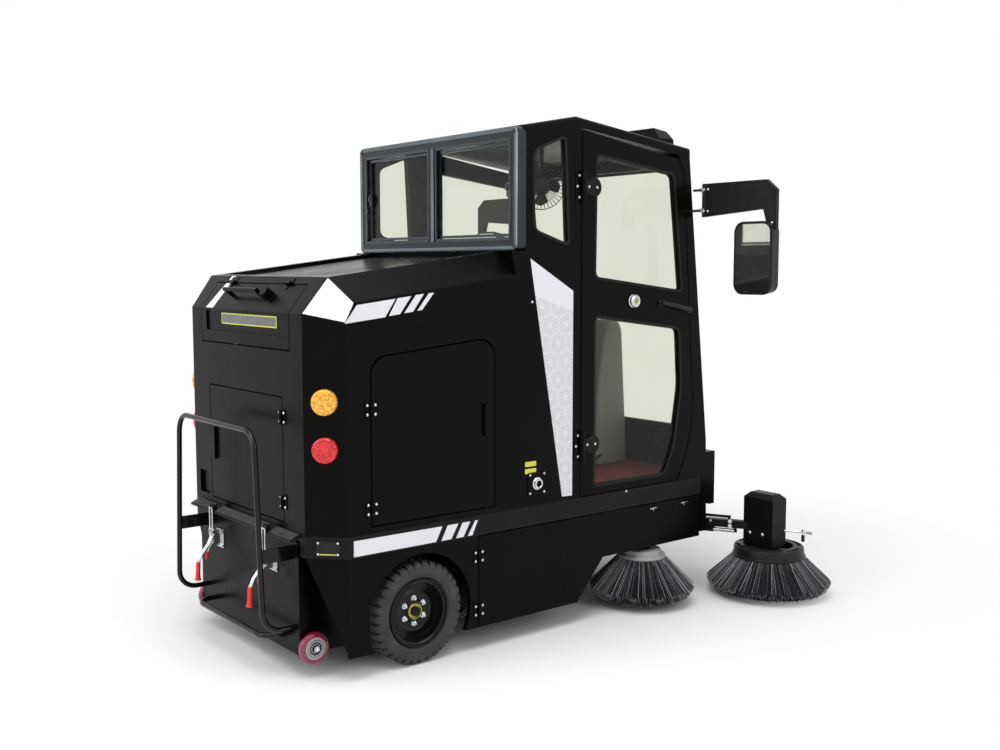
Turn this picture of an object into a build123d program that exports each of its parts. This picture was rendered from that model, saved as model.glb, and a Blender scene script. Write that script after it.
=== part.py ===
"""Ride-on sweeper with a glazed cab, as separate pieces in one frame.

x points forward, y to the left and z up. The origin is on the floor under the
middle of the machine. All sizes are in millimetres.
"""
from build123d import *
from math import cos, pi, sin, sqrt
import os

os.makedirs("parts", exist_ok=True)

# Body
body_width = 1230.0
side_y = body_width / 2
rear_x = -1276.0
belt_z = 575.0
band_height = 85.0
band_z = belt_z - band_height
rail_width = 60.0
door_gap = 5.5
seat_gap = 0.3

# Rear housing: flat facets, each set by where it cuts the rear or the side
housing_wall = 20.0
corner_cut = 120.0
slope_foot_z = 1428.0
slope_run = 104.0
slope_rise = 138.0
top_rise = 0.1262
top_cut = 100.0
top_cut_drop = 102.8
facet_foot_drop = 33.0
housing_front_foot_x = -126.0
housing_front_lean = 0.2045
tray_depth = 18.0
tray_rim = 38.0
side_edge_run = 38.0

# Openings in the housing: outlines shrink by the gap round their doors
access_rear_x = -1052.0
access_front_x = -440.0
access_bottom_z = 600.0
access_top_z = 1260.0
access_corner_r = 75.0
rear_door_half = 333.0
rear_door_z = (600.0, 1101.0)
lid_half = 400.0
lid_foot_z = 1281.0
lid_head = 34.0
small_corner_r = 8.0

# Cab
cab_wall = 30.0
bulkhead_depth = 41.0
frame_foot_z = 1672.0
rear_frame_x = -320.0
rear_frame_depth = 45.0
roof_thick = 45.0
roof_rear_z = 2188.0
roof_peak_x = 18.0
roof_peak_z = 2254.0
roof_front_x = 738.0
roof_front_z = 2164.0
nose_bend_x = 889.0
nose_bend_z = 755.0
nose_foot_x = 901.0
nose_foot_z = 300.0
nose_thick = 40.0
glass_thick = 6.0
floor_thick = 18.0

# Cab doors
door_seam_x = 45.0
door_bottom_z = 580.0
cab_hinge_z = (811.0, 1953.0)

# Wheels
axle_x = -820.0
tyre_r = 212.0
tyre_width = 125.0
tyre_out_y = 610.0
rim_r = 143.0
hub_bore_r = 20.0
shaft_clear = 0.05
arch_r = 248.0
front_wheel_x = 530.0
front_tyre_r = 200.0
front_tyre_width = 90.0
front_rim_r = 120.0

# Skirts
skirt_z = 97.0
skirt_thick = 20.0
skirt_rear_x = rear_x + corner_cut
skirt_seam_x = -529.0
skirt_slant = ((31.0, 97.0), (191.0, 280.0))
skirt_front_x = 850.0

# Dust bin
bin_half = 446.0
bin_rear_x = -1280.0
bin_front_x = -600.0
bin_bottom_z = 92.0
bin_top_z = 540.0
bin_wall = 8.0
handle_x = -1410.0
handle_tube_r = 11.0
handle_half = 398.0
handle_top_z = 987.0
caster_r = 63.5
caster_x = -1229.0
caster_y = 465.0
caster_z = 120.0
caster_width = 32.0

# Brushes
roller_x = -340.0
roller_z = 165.0
roller_r = 155.0
roller_core_r = 80.0
roller_half = 425.0
side_brush = (515.0, 548.0)
side_brush_r = 256.0
side_brush_lift = 30.0
front_brush = (1116.0, 835.0)
front_brush_r = 305.0
front_brush_lift = 16.0
arm_pivot = (935.0, 480.0)
arm_z = 325.0

# Rear housing's fittings
pocket_y = 402.0
pocket_z = 658.0
pocket_width = 100.0
pocket_height = 100.0
rear_pull_y = 290.0
rear_pull_z = 844.0
access_pull_x = -486.0
access_pull_z = 972.0
pull_width = 34.0
pull_height = 140.0
pull_proud = 12.0
lid_panel_z = 1378.0
lid_panel_half = 350.0
lid_panel_height = 86.0
lid_bar_up = 78.0
lid_bar_y = 55.0
lid_bar_length = 300.0
lid_bar_r = 9.0
lid_bar_stand = 34.0
lid_knob_r = 22.0
socket_x = -212.0
socket_z = 672.0
socket_plate = (100.0, 100.0)
socket_plate_thick = 4.0
socket_r = 19.0
socket_proud = 14.0
battery_x = -820.0
battery_length = 640.0
battery_width = 900.0
battery_height = 420.0
indicator_z = 1095.0
tail_lamp_z = 912.0
lamp_r = 50.0
lamp_depth = 26.0

# Butt hinges: middle of each pin, knuckle radius, length and leaf
access_hinge_z = (672.0, 1059.0)
rear_hinge_z = (683.0, 1020.0)
lid_hinge_y = (-250.0, 250.0)
butt_r = 7.0
butt_length = 54.0
butt_leaf = 28.0

# Chassis fittings
cross_rails_x = (-560.0, -110.0, 515.0)
bin_side_room = 8.0
flange_z = 549.0
flange_thick = 8.0
flange_depth = 44.0
flange_half = 463.0
latch_y = 245.0
catch_height = 25.0
catch_depth = 16.0
catch_half = 20.0
deck_thick = 18.0
carrier_y = 467.0
carrier_thick = 12.0
hub_out_y = 575.0
roller_plate_y = 436.0
roller_bore_r = 14.0
headstock_z = 450.0
headstock_r = 50.0
kingpin_r = 30.0
kingpin_top_z = 555.0
skirt_hinge_z = (172.0, 401.0)
skirt_latch_x = (515.0, 730.0)

# Cab windows and door outline, as (x, z) on the side
quarter_corners = [(-236.0, 1756.0), (-22.0, 1688.0), (-46.0, 2172.0), (-236.0, 2098.0)]
quarter_corner_r = 34.0
pillar_corners = [(-64.0, 595.0), (-5.0, 592.0), (-5.0, 1500.0), (-250.0, 1639.0)]
panel_thick = 2.0
frame_bar = 45.0
frame_corner_r = 28.0
hinge_stand = 12.0
hinge_length = 138.0
hinge_leaf = 40.0
strap_reach = 67.0
strap_end_r = 41.0
strap_thick = 3.0
door_top_front = (660.0, 2108.0)
door_upper_front = (697.0, 2050.0)
door_knee = (780.0, 1000.0)
door_toe_x = 676.0
upper_pane = [(121.0, 1551.0), (705.0, 1481.0), (637.0, 2042.0), (127.0, 2103.0)]
lower_pane = [
    (122.0, 612.0), (600.0, 612.0), (665.0, 762.0), (708.0, 1039.0), (688.0, 1319.0), (122.0, 1391.0),
]
pane_corner_r = 32.0
screen_z = (800.0, 2080.0)
screen_half = 555.0
screen_corner_r = 45.0

# Nose, lamps and bumper
arm_tube_r = 26.0
arm_tube_height = 44.0
arm_pin_r = 10.0
lug_thick = 8.0
bumper_depth = 80.0
bumper_half = 605.0
bumper_z = (427.0, 692.0)
bumper_slant = 28.0
bumper_edge = 12.0
headlamp_y = 430.0
headlamp_z = 600.0
headlamp_r = 60.0
headlamp_depth = 24.0
lens_sink = 2.0
light_bar_x = 655.0
light_bar_depth = 110.0
light_bar_height = 80.0
light_bar_half = 540.0

# Inside the cab
seat_x = -20.0
seat_z = 940.0
seat_width = 480.0
seat_length = 430.0
seat_thick = 100.0
back_height = 500.0
column_foot_x = 640.0
column_r = 28.0
handwheel_x = 440.0
handwheel_z = 1330.0
handwheel_r = 185.0
handwheel_tube_r = 13.0
fan_x = -51.0
fan_y = 450.0
fan_z = 1960.0
fan_r = 105.0
fan_aim = (0.6, 0.8, -0.1)
fan_motor_r = 44.0
fan_motor_length = 62.0
fan_stalk_r = 9.0

# Mirrors
mirror_x = 796.0
mirror_arm_z = (1840.0, 1996.0)
mirror_head_z = (1478.0, 1810.0)
mirror_tube_r = 14.0
mirror_tube_out = 48.0
mirror_pin_r = 7.0
mirror_arm_thick = 20.0
mirror_reach = 470.0
mirror_head_width = 217.0
mirror_head_depth = 60.0
door_lock = (368.0, 1449.0)
lock_r = 24.0
lock_depth = 22.0

# Wheels' details
lug_count = 34
lug_height = 11.0
lug_share = 0.31
shoulder_run = 14.0
shoulder_drop = 26.0
nut_count = 6
nut_r = 12.0
nut_circle_share = 0.52
rear_hub_half = 36.0
fork_clear = 12.0
fork_leg = 14.0
front_axle_r = 15.0

# Bin's handle and latches
caster_pin_r = 10.0
handle_top_half = 350.0
handle_bend_r = 80.0
handle_low_z = 195.0
handle_bracket_z = 492.0
bracket_in = 14.0
bracket_height = 56.0
bracket_thick = 5.0
low_bar_z = 150.0
low_bar_x = -1365.0
low_bar_half = 320.0
low_bar_bend_r = 70.0
latch_base_z = 430.0
hook_r = 4.0
grip_x = -1398.0
grip_z = 262.0

# Brush details
tuft_rise = 48.0
tuft_undercut = 42.0
roller_rows = 14
tuft_count = 40
side_plate_r = 115.0
side_plate_z = 225.0
side_plate_thick = 34.0
side_motor_r = 40.0
side_hanger_thick = 12.0
ring_r = 177.0
ring_z = 192.0
motor_foot_z = 238.0
motor_box = (106.0, 176.0)
motor_box_cut = 24.0
motor_box_height = 258.0
motor_box_back = 23.0
arm_beam = 38.0
# Rods along the arm: height over the beam's middle, radius, start and end
arm_rods = ((33.0, 7.0, 44.0, 200.0), (-36.0, 9.0, 44.0, 230.0))


def roof_z(x):
    """Height of the roof's upper face above the point x."""
    if x < roof_peak_x:
        share = (x - rear_frame_x) / (roof_peak_x - rear_frame_x)
        return roof_rear_z + share * (roof_peak_z - roof_rear_z)
    share = (x - roof_peak_x) / (roof_front_x - roof_peak_x)
    return roof_peak_z + share * (roof_front_z - roof_peak_z)


def nose_x(z):
    """Forward reach of the nose at the height z."""
    if z > nose_bend_z:
        return nose_bend_x - (z - nose_bend_z) * (nose_bend_x - roof_front_x) / (roof_front_z - nose_bend_z)
    return nose_foot_x - (z - nose_foot_z) * (nose_foot_x - nose_bend_x) / (nose_bend_z - nose_foot_z)


def housing_front_x(z):
    """The housing's slanted front face at the height z."""
    return housing_front_foot_x - (z - belt_z) * housing_front_lean


def write_piece(name, piece):
    piece.part.label = name
    export_step(piece.part, f"parts/{name}.step")


def write_pair(name, right):
    """Write the right-hand piece and its mirror image on the left."""
    write_piece(f"{name}_right", right)
    with BuildPart() as left:
        mirror(right.part, about=Plane.XZ)
    write_piece(f"{name}_left", left)


def outline(points, mode=Mode.ADD):
    """Straight-sided face in the sketch in hand."""
    Polygon(*points, align=None, mode=mode)


def rounded_outline(points, radius, mode=Mode.ADD):
    """Face with rounded corners: one radius for all of them, or a list."""
    with BuildLine() as edge:
        FilletPolyline(*points, radius=radius, close=True)
    make_face(edge.edges(), mode=mode)


side_plane = Plane.XZ.offset(side_y)
corner_plane = Plane(origin=(rear_x, corner_cut - side_y, 0), x_dir=(1, -1, 0), z_dir=(-1, -1, 0))
corner_width = corner_cut * sqrt(2)


def hinge(pin, leaf, outward, length, knuckle_r, leaf_length):
    """A butt hinge lying on a surface: its moving leaf and its fixed leaf.

    pin is the middle of the hinge pin, leaf the direction of the moving leaf
    and outward the direction away from the surface, which the knuckles clear.
    """
    place = Plane(origin=pin, x_dir=leaf, z_dir=Vector(*leaf).cross(Vector(*outward)))
    stand = knuckle_r + 1.0
    plate = 3.0
    third = length / 3
    with BuildPart() as moving:
        with BuildSketch(place.offset(-third / 2)):
            Circle(knuckle_r)
            outline([(0, -stand), (leaf_length, -stand), (leaf_length, plate - stand), (0, plate - stand)])
        extrude(amount=third)
    with BuildPart() as fixed:
        for end in (-1, 1):
            middle = end * (third + seat_gap) - third / 2
            with BuildSketch(place.offset(middle)):
                Circle(knuckle_r)
                outline([
                    (0, -stand), (0, plate - stand), (-leaf_length, plate - stand), (-leaf_length, -stand),
                ])
            extrude(amount=third)
        with BuildSketch(place.offset(-third)):
            near = -knuckle_r - 2
            outline([
                (near, -stand), (near, plate - stand), (-leaf_length, plate - stand), (-leaf_length, -stand),
            ])
        extrude(amount=2 * third)
    return moving.part, fixed.part


# Rear housing
slope_top_x = rear_x + slope_run
slope_top_z = slope_foot_z + slope_rise
side_edge_x = rear_x + corner_cut + side_edge_run
side_edge_z = slope_top_z + (side_edge_x - slope_top_x) * top_rise - top_cut_drop


def hull_facets():
    """Each flat facet of the housing as a point on it and its outward direction."""
    facets = [
        ((rear_x, 0, slope_foot_z), (-slope_rise, 0, slope_run)),
        ((slope_top_x, 0, slope_top_z), (-top_rise, 0, 1)),
        ((housing_front_foot_x, 0, belt_z), (1, 0, housing_front_lean)),
    ]
    for side in (-1, 1):
        corner = Vector(rear_x, side * (side_y - corner_cut), slope_foot_z)
        low = Vector(rear_x + corner_cut, side * side_y, slope_foot_z - facet_foot_drop)
        high = Vector(slope_top_x, side * (side_y - top_cut), slope_top_z)
        facet = (low - corner).cross(high - corner)
        if facet.Z < 0:
            facet = facet * -1
        along = Vector(1, 0, top_rise)
        across = Vector(0, -side * top_cut, top_cut_drop)
        shoulder = along.cross(across)
        if shoulder.Z < 0:
            shoulder = shoulder * -1
        facets.append((tuple(corner), (-1, side, 0)))
        facets.append((tuple(corner), tuple(facet)))
        facets.append(((side_edge_x, side * side_y, side_edge_z), tuple(shoulder)))
    return facets


def housing_hull(inset):
    """The housing's outer shape as a solid, every face moved in by inset."""
    reach = side_y - inset
    with BuildPart() as hull:
        with BuildSketch(Plane.XY.offset(belt_z)):
            outline([(rear_x + inset, -reach), (0, -reach), (0, reach), (rear_x + inset, reach)])
        extrude(amount=frame_foot_z)
        for point, outward in hull_facets():
            direction = Vector(*outward).normalized()
            facet = Plane(origin=Vector(*point) - direction * inset, z_dir=direction)
            split(bisect_by=facet, keep=Keep.BOTTOM)
    return hull.part


def access_outline(shrink):
    """Outline of the access door: its top edge rises with the housing's top."""
    rear = access_rear_x + shrink
    front = access_front_x - shrink
    low = access_bottom_z + shrink
    top = access_top_z - shrink
    rise = (front - rear) * top_rise * 0.75
    radii = [small_corner_r, small_corner_r, access_corner_r, access_corner_r]
    rounded_outline([(rear, low), (front, low), (front, top + rise), (rear, top)], radii)


def lid_region(shrink):
    """The block of space that the top lid takes out of the housing's rear."""
    length = sqrt(slope_run**2 + slope_rise**2)
    down = Vector(-slope_run / length, 0, -slope_rise / length)
    inward = Vector(slope_rise / length, 0, -slope_run / length)
    top = Vector(slope_top_x, 0, slope_top_z) + down * (shrink + lid_head)
    deep = top + inward * 2 * housing_wall
    proud = top - inward * 3 * housing_wall
    knee_x = rear_x + 2.4 * housing_wall
    foot = lid_foot_z + shrink
    with BuildPart() as region:
        with BuildSketch(Plane.XZ):
            outline([
                (rear_x - 60, foot), (knee_x, foot), (knee_x, slope_foot_z),
                (deep.X, deep.Z), (proud.X, proud.Z), (rear_x - 60, proud.Z),
            ])
        extrude(amount=lid_half - shrink, both=True)
    return region.part


# Hinges of the housing
butt_stand = butt_r + 1.0
access_pin_x = access_rear_x + door_gap / 2
rear_pin_y = door_gap / 2 - rear_door_half
slope_length = sqrt(slope_run**2 + slope_rise**2)
slope_down = Vector(-slope_run, 0, -slope_rise) / slope_length
slope_out = Vector(-slope_rise, 0, slope_run) / slope_length
lid_pin = Vector(slope_top_x, 0, slope_top_z) + slope_down * (lid_head + door_gap / 2)
lid_pin += slope_out * butt_stand

access_hinges = [
    hinge((access_pin_x, -side_y - butt_stand, z), (1, 0, 0), (0, -1, 0), butt_length, butt_r, butt_leaf)
    for z in access_hinge_z
]
rear_hinges = [
    hinge((rear_x - butt_stand, rear_pin_y, z), (0, 1, 0), (-1, 0, 0), butt_length, butt_r, butt_leaf)
    for z in rear_hinge_z
]
lid_hinges = [
    hinge(
        tuple(lid_pin + Vector(0, y, 0)), tuple(slope_down), tuple(slope_out), butt_length, butt_r, butt_leaf,
    )
    for y in lid_hinge_y
]

with BuildPart() as rear_housing:
    add(housing_hull(0))
    add(housing_hull(housing_wall), mode=Mode.SUBTRACT)
    add(lid_region(0), mode=Mode.SUBTRACT)
    # The door in the rear face
    with BuildSketch(Plane.YZ.offset(rear_x - 1)):
        with Locations((0, (rear_door_z[0] + rear_door_z[1]) / 2)):
            RectangleRounded(2 * rear_door_half, rear_door_z[1] - rear_door_z[0], small_corner_r)
    extrude(amount=housing_wall + 2, mode=Mode.SUBTRACT)
    # The access doors in both sides
    with BuildSketch(Plane.XZ.offset(-side_y - 1)):
        access_outline(0)
    extrude(amount=body_width + 2, mode=Mode.SUBTRACT)
    # The shallow tray in the top
    tray_half = side_y - top_cut - tray_rim
    tray = Plane(origin=(slope_top_x, 0, slope_top_z), x_dir=(1, 0, top_rise), z_dir=(-top_rise, 0, 1))
    with BuildSketch(tray.offset(1)):
        outline([(tray_rim, -tray_half), (1200, -tray_half), (1200, tray_half), (tray_rim, tray_half)])
    extrude(amount=-tray_depth + seat_gap, mode=Mode.SUBTRACT)
    # A pocket beside the rear door
    with BuildSketch(Plane.YZ.offset(rear_x)):
        with Locations((pocket_y, pocket_z)):
            RectangleRounded(pocket_width, pocket_height, small_corner_r)
    extrude(amount=housing_wall * 0.7, mode=Mode.SUBTRACT)
    # Plate with a round socket, low on the right side
    with BuildSketch(side_plane):
        with Locations((socket_x, socket_z)):
            RectangleRounded(*socket_plate, small_corner_r)
    extrude(amount=socket_plate_thick)
    with BuildSketch(side_plane):
        with Locations((socket_x + socket_r, socket_z)):
            Circle(socket_r)
    extrude(amount=socket_proud)
    # Fixed hinge leaves
    for moving, fixed in access_hinges:
        add(fixed)
        mirror(fixed, about=Plane.XZ)
    for moving, fixed in rear_hinges + lid_hinges:
        add(fixed)
write_piece("rear_housing", rear_housing)

with BuildPart() as rear_door:
    with BuildSketch(Plane.YZ.offset(rear_x)):
        with Locations((0, (rear_door_z[0] + rear_door_z[1]) / 2)):
            RectangleRounded(
                2 * (rear_door_half - door_gap),
                rear_door_z[1] - rear_door_z[0] - 2 * door_gap,
                small_corner_r,
            )
    extrude(amount=housing_wall)
    for moving, fixed in rear_hinges:
        add(moving)
    # Flat pull handle near the free edge
    with BuildSketch(Plane.YZ.offset(rear_x)):
        with Locations((rear_pull_y, rear_pull_z)):
            RectangleRounded(pull_width, pull_height, pull_width / 3)
    extrude(amount=-pull_proud)
write_piece("rear_door", rear_door)

with BuildPart() as access_door:
    with BuildSketch(side_plane):
        access_outline(door_gap)
    extrude(amount=-housing_wall)
    for moving, fixed in access_hinges:
        add(moving)
    with BuildSketch(side_plane):
        with Locations((access_pull_x, access_pull_z)):
            RectangleRounded(pull_width, pull_height, pull_width / 3)
    extrude(amount=pull_proud)
write_pair("access_door", access_door)

with BuildPart() as top_lid:
    add(housing_hull(0))
    add(housing_hull(housing_wall), mode=Mode.SUBTRACT)
    add(lid_region(door_gap), mode=Mode.INTERSECT)
    # Sunken label panel
    with BuildSketch(Plane.YZ.offset(rear_x - 1)):
        with Locations((0, lid_panel_z)):
            RectangleRounded(2 * lid_panel_half, lid_panel_height, small_corner_r)
    extrude(amount=housing_wall * 0.4 + 1, mode=Mode.SUBTRACT)
    for moving, fixed in lid_hinges:
        add(moving)
    # Pull bar across the slope on two posts, with a turning knob at its end
    bar_place = Plane(
        origin=Vector(rear_x, lid_bar_y, slope_foot_z) - slope_down * lid_bar_up,
        x_dir=(0, 1, 0),
        z_dir=slope_out,
    )
    with BuildSketch(bar_place.offset(-housing_wall / 2)):
        with GridLocations(lid_bar_length - 2 * lid_bar_r, 0, 2, 1):
            Circle(lid_bar_r)
    extrude(amount=lid_bar_stand + housing_wall / 2)
    bar_middle = bar_place.origin + slope_out * lid_bar_stand
    with BuildSketch(Plane(origin=bar_middle, x_dir=slope_out, z_dir=(0, 1, 0))):
        Circle(lid_bar_r)
    extrude(amount=lid_bar_length / 2, both=True)
    with BuildSketch(bar_place.offset(-housing_wall / 2)):
        with Locations((-lid_bar_length / 2 - 2.5 * lid_knob_r, 0)):
            Circle(lid_knob_r)
    extrude(amount=lid_bar_stand + housing_wall / 2)
write_piece("top_lid", top_lid)

with BuildPart() as battery_block:
    with BuildSketch(Plane.XY.offset(belt_z)):
        with Locations((battery_x, 0)):
            RectangleRounded(battery_length, battery_width, 15)
    extrude(amount=battery_height)
write_piece("battery_block", battery_block)

# Lamps on the slanted rear corners
for lamp_name, lamp_z in (("indicator_lamps", indicator_z), ("tail_lamps", tail_lamp_z)):
    with BuildPart() as lamp_right:
        with BuildSketch(corner_plane):
            with Locations((corner_width / 2, lamp_z)):
                Circle(lamp_r)
        extrude(amount=lamp_depth)
        fillet(lamp_right.faces().sort_by(Axis((0, 0, 0), (-1, -1, 0)))[-1].edges(), lamp_depth * 0.4)
    with BuildPart() as lamps:
        add(lamp_right.part)
        mirror(lamp_right.part, about=Plane.XZ)
    write_piece(lamp_name, lamps)

# Chassis: the band round the body with its crossmembers, the rear deck and what hangs below
nose_inner_x = nose_x(belt_z) - nose_thick


def band_points(inset, front_x):
    """Plan of the chassis band with its cut rear corners, moved in by inset."""
    ease = inset * (sqrt(2) - 1)
    rear = rear_x + inset
    y = side_y - inset
    return [
        (rear, corner_cut + ease - side_y), (rear_x + corner_cut + ease, -y), (front_x, -y),
        (front_x, y), (rear_x + corner_cut + ease, y), (rear, side_y - corner_cut - ease),
    ]


with BuildPart() as chassis_frame:
    inner_y = side_y - rail_width
    with BuildSketch(Plane.XY.offset(band_z)):
        outline(band_points(0, nose_inner_x))
        outline(band_points(rail_width, nose_inner_x - rail_width), mode=Mode.SUBTRACT)
        # Crossmembers
        for cross_x in cross_rails_x:
            with Locations((cross_x, 0)):
                Rectangle(rail_width, 2 * inner_y + 2)
        # Centre beam from the cab's rear to the nose
        with Locations(((cross_rails_x[1] + nose_inner_x) / 2, 0)):
            Rectangle(nose_inner_x - cross_rails_x[1], 2 * rail_width)
    extrude(amount=band_height)
    # Room for the bin under the rear rail
    with BuildSketch(Plane.XY.offset(band_z - 1)):
        with Locations((rear_x, 0)):
            Rectangle(4 * rail_width, 2 * (bin_half + bin_side_room))
    extrude(amount=flange_z - band_z + 1, mode=Mode.SUBTRACT)
    # Deck under the housing
    with BuildSketch(Plane.XY.offset(belt_z - deck_thick)):
        outline(band_points(rail_width - 2, cross_rails_x[0]))
    extrude(amount=deck_thick)
    # Flange along the rear edge, with the catches for the bin's latches
    with BuildSketch(Plane.XZ):
        outline([
            (rear_x + 5, belt_z - flange_thick), (rear_x + 5, belt_z), (rear_x, belt_z),
            (rear_x - flange_depth, flange_z + flange_thick), (rear_x - flange_depth, flange_z),
        ])
    extrude(amount=flange_half, both=True)
    with BuildSketch(Plane.XZ):
        outline([
            (rear_x - flange_depth, flange_z),
            (rear_x - flange_depth, flange_z + catch_height + flange_thick),
            (rear_x - flange_depth + catch_depth, flange_z + catch_height + flange_thick),
            (rear_x - flange_depth + catch_depth, flange_z),
        ])
    catch = extrude(amount=catch_half, both=True, mode=Mode.PRIVATE)
    add([catch.moved(Location((0, side * latch_y, 0))) for side in (-1, 1)])
    # Wheel carriers and their stub axles
    for side in (-1, 1):
        with BuildSketch(Plane.XZ.offset(-side * carrier_y)):
            outline([
                (axle_x - 90, belt_z - 10), (axle_x - 45, tyre_r - 45), (axle_x + 45, tyre_r - 45),
                (axle_x + 90, belt_z - 10),
            ])
        extrude(amount=-side * carrier_thick)
        with BuildSketch(Plane.XZ.offset(-side * carrier_y)):
            with Locations((axle_x, tyre_r)):
                Circle(hub_bore_r - shaft_clear)
        extrude(amount=-side * (hub_out_y - carrier_y))
    # Side plates that carry the roller brush
    for side in (-1, 1):
        with BuildSketch(Plane.XZ.offset(-side * roller_plate_y)):
            outline([
                (cross_rails_x[0] + 25, band_z + 5), (roller_x - roller_r - 20, 180), (roller_x - 70, 95),
                (roller_x + 70, 95), (roller_x + roller_r + 20, 180), (cross_rails_x[1] - 25, band_z + 5),
            ])
        extrude(amount=-side * carrier_thick)
        with BuildSketch(Plane.XZ.offset(-side * (roller_half - 30))):
            with Locations((roller_x, roller_z)):
                Circle(roller_bore_r - shaft_clear)
        extrude(amount=-side * (roller_plate_y - roller_half + 31))
    # Headstock of the steered wheel
    with BuildSketch(Plane.XY.offset(headstock_z)):
        with Locations((front_wheel_x, 0)):
            Circle(headstock_r)
    extrude(amount=belt_z - headstock_z)
    with BuildSketch(Plane.XY.offset(headstock_z - 1)):
        with Locations((front_wheel_x, 0)):
            Circle(kingpin_r + shaft_clear)
    extrude(amount=kingpin_top_z - headstock_z + 2, mode=Mode.SUBTRACT)
write_piece("chassis_frame", chassis_frame)

with BuildPart() as side_skirts:
    with BuildSketch(side_plane):
        outline([
            (skirt_rear_x, skirt_z), (skirt_seam_x - door_gap / 2, skirt_z),
            (skirt_seam_x - door_gap / 2, band_z), (skirt_rear_x, band_z),
        ])
        with Locations((axle_x, tyre_r)):
            Circle(arch_r, mode=Mode.SUBTRACT)
    extrude(amount=-skirt_thick)
    with BuildSketch(corner_plane):
        outline([(0, band_z), (corner_width, skirt_z), (corner_width, band_z)])
    extrude(amount=-skirt_thick)
    skirt_hinges = [
        hinge((skirt_seam_x, -side_y - butt_stand, z), (1, 0, 0), (0, -1, 0), butt_length, butt_r, butt_leaf)
        for z in skirt_hinge_z
    ]
    for moving, fixed in skirt_hinges:
        add(fixed)
    mirror(side_skirts.part, about=Plane.XZ)
write_piece("side_skirts", side_skirts)

with BuildPart() as skirt_door:
    with BuildSketch(side_plane):
        seam = skirt_seam_x + door_gap / 2
        outline([
            (seam, skirt_z), skirt_slant[0], skirt_slant[1], (skirt_front_x, skirt_slant[1][1]),
            (skirt_front_x, band_z - door_gap), (seam, band_z - door_gap),
        ])
    extrude(amount=-skirt_thick)
    for moving, fixed in skirt_hinges:
        add(moving)
    # Two turn latches near the top edge
    with BuildSketch(side_plane):
        with Locations(*[(x, band_z - 30) for x in skirt_latch_x]):
            RectangleRounded(34, 18, 6)
    extrude(amount=6)
write_pair("skirt_door", skirt_door)

# Cab
bulkhead_front_foot_x = housing_front_foot_x + bulkhead_depth
cab_rear_x = rear_frame_x + rear_frame_depth
bulkhead_knee_z = belt_z + (bulkhead_front_foot_x - cab_rear_x) / housing_front_lean
post_x = door_seam_x - door_gap / 2

with BuildPart() as cab_bulkhead:
    with BuildSketch(Plane.XZ):
        outline([
            (housing_front_foot_x, belt_z), (bulkhead_front_foot_x, belt_z), (cab_rear_x, bulkhead_knee_z),
            (cab_rear_x, frame_foot_z), (housing_front_x(frame_foot_z), frame_foot_z),
        ])
    extrude(amount=side_y, both=True)
write_piece("cab_bulkhead", cab_bulkhead)


def quarter_window(shrink):
    """Outline of the small side window, smaller by shrink all round."""
    rounded_outline(quarter_corners, quarter_corner_r)
    if shrink:
        offset(amount=-shrink, mode=Mode.REPLACE)


cab_door_hinges = [
    hinge(
        (door_seam_x, -side_y - hinge_stand, z), (1, 0, 0), (0, -1, 0),
        hinge_length, hinge_stand - 1, hinge_leaf,
    )
    for z in cab_hinge_z
]

with BuildPart() as cab_quarters:
    with BuildSketch(side_plane):
        outline([
            (bulkhead_front_foot_x, belt_z), (post_x, belt_z), (post_x, roof_z(post_x) - roof_thick),
            (roof_peak_x, roof_peak_z - roof_thick), (cab_rear_x, roof_z(cab_rear_x) - roof_thick),
            (cab_rear_x, bulkhead_knee_z),
        ])
    extrude(amount=-cab_wall)
    with BuildSketch(side_plane):
        quarter_window(0)
    extrude(amount=-cab_wall, mode=Mode.SUBTRACT)
    for moving, fixed in cab_door_hinges:
        add(fixed)
    mirror(cab_quarters.part, about=Plane.XZ)
write_piece("cab_quarters", cab_quarters)

with BuildPart() as pillar_panels:
    with BuildSketch(side_plane):
        outline(pillar_corners)
    extrude(amount=panel_thick)
    mirror(pillar_panels.part, about=Plane.XZ)
write_piece("pillar_panels", pillar_panels)

with BuildPart() as roof:
    with BuildSketch(Plane.XZ):
        tops = [cab_rear_x, roof_peak_x, roof_front_x]
        outline([(x, roof_z(x)) for x in tops] + [(x, roof_z(x) - roof_thick) for x in reversed(tops)])
    extrude(amount=side_y, both=True)
    rims = [
        edge for edge in roof.edges().filter_by(lambda e: abs(e.tangent_at(0.5).Y) < 0.1)
        if edge.center().Z > roof_z(edge.center().X) - roof_thick / 4
    ]
    fillet(rims, roof_thick * 0.4)
write_piece("roof", roof)

with BuildPart() as rear_window_frame:
    frame_top_z = roof_z(rear_frame_x)
    frame_height = frame_top_z - frame_foot_z
    pane_width = (body_width - 3 * frame_bar) / 2
    pane_height = frame_height - 2 * frame_bar
    with BuildSketch(Plane.YZ.offset(rear_frame_x)):
        with Locations((0, frame_foot_z + frame_height / 2)):
            RectangleRounded(body_width, frame_height, frame_corner_r)
            with GridLocations(pane_width + frame_bar, 0, 2, 1):
                RectangleRounded(pane_width, pane_height, frame_corner_r / 2, mode=Mode.SUBTRACT)
    extrude(amount=rear_frame_depth)
write_piece("rear_window_frame", rear_window_frame)

# Nose: windscreen surround with the front posts, and the panel below it
screen_plane = Plane.YZ.offset(roof_front_x - 200)


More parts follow.
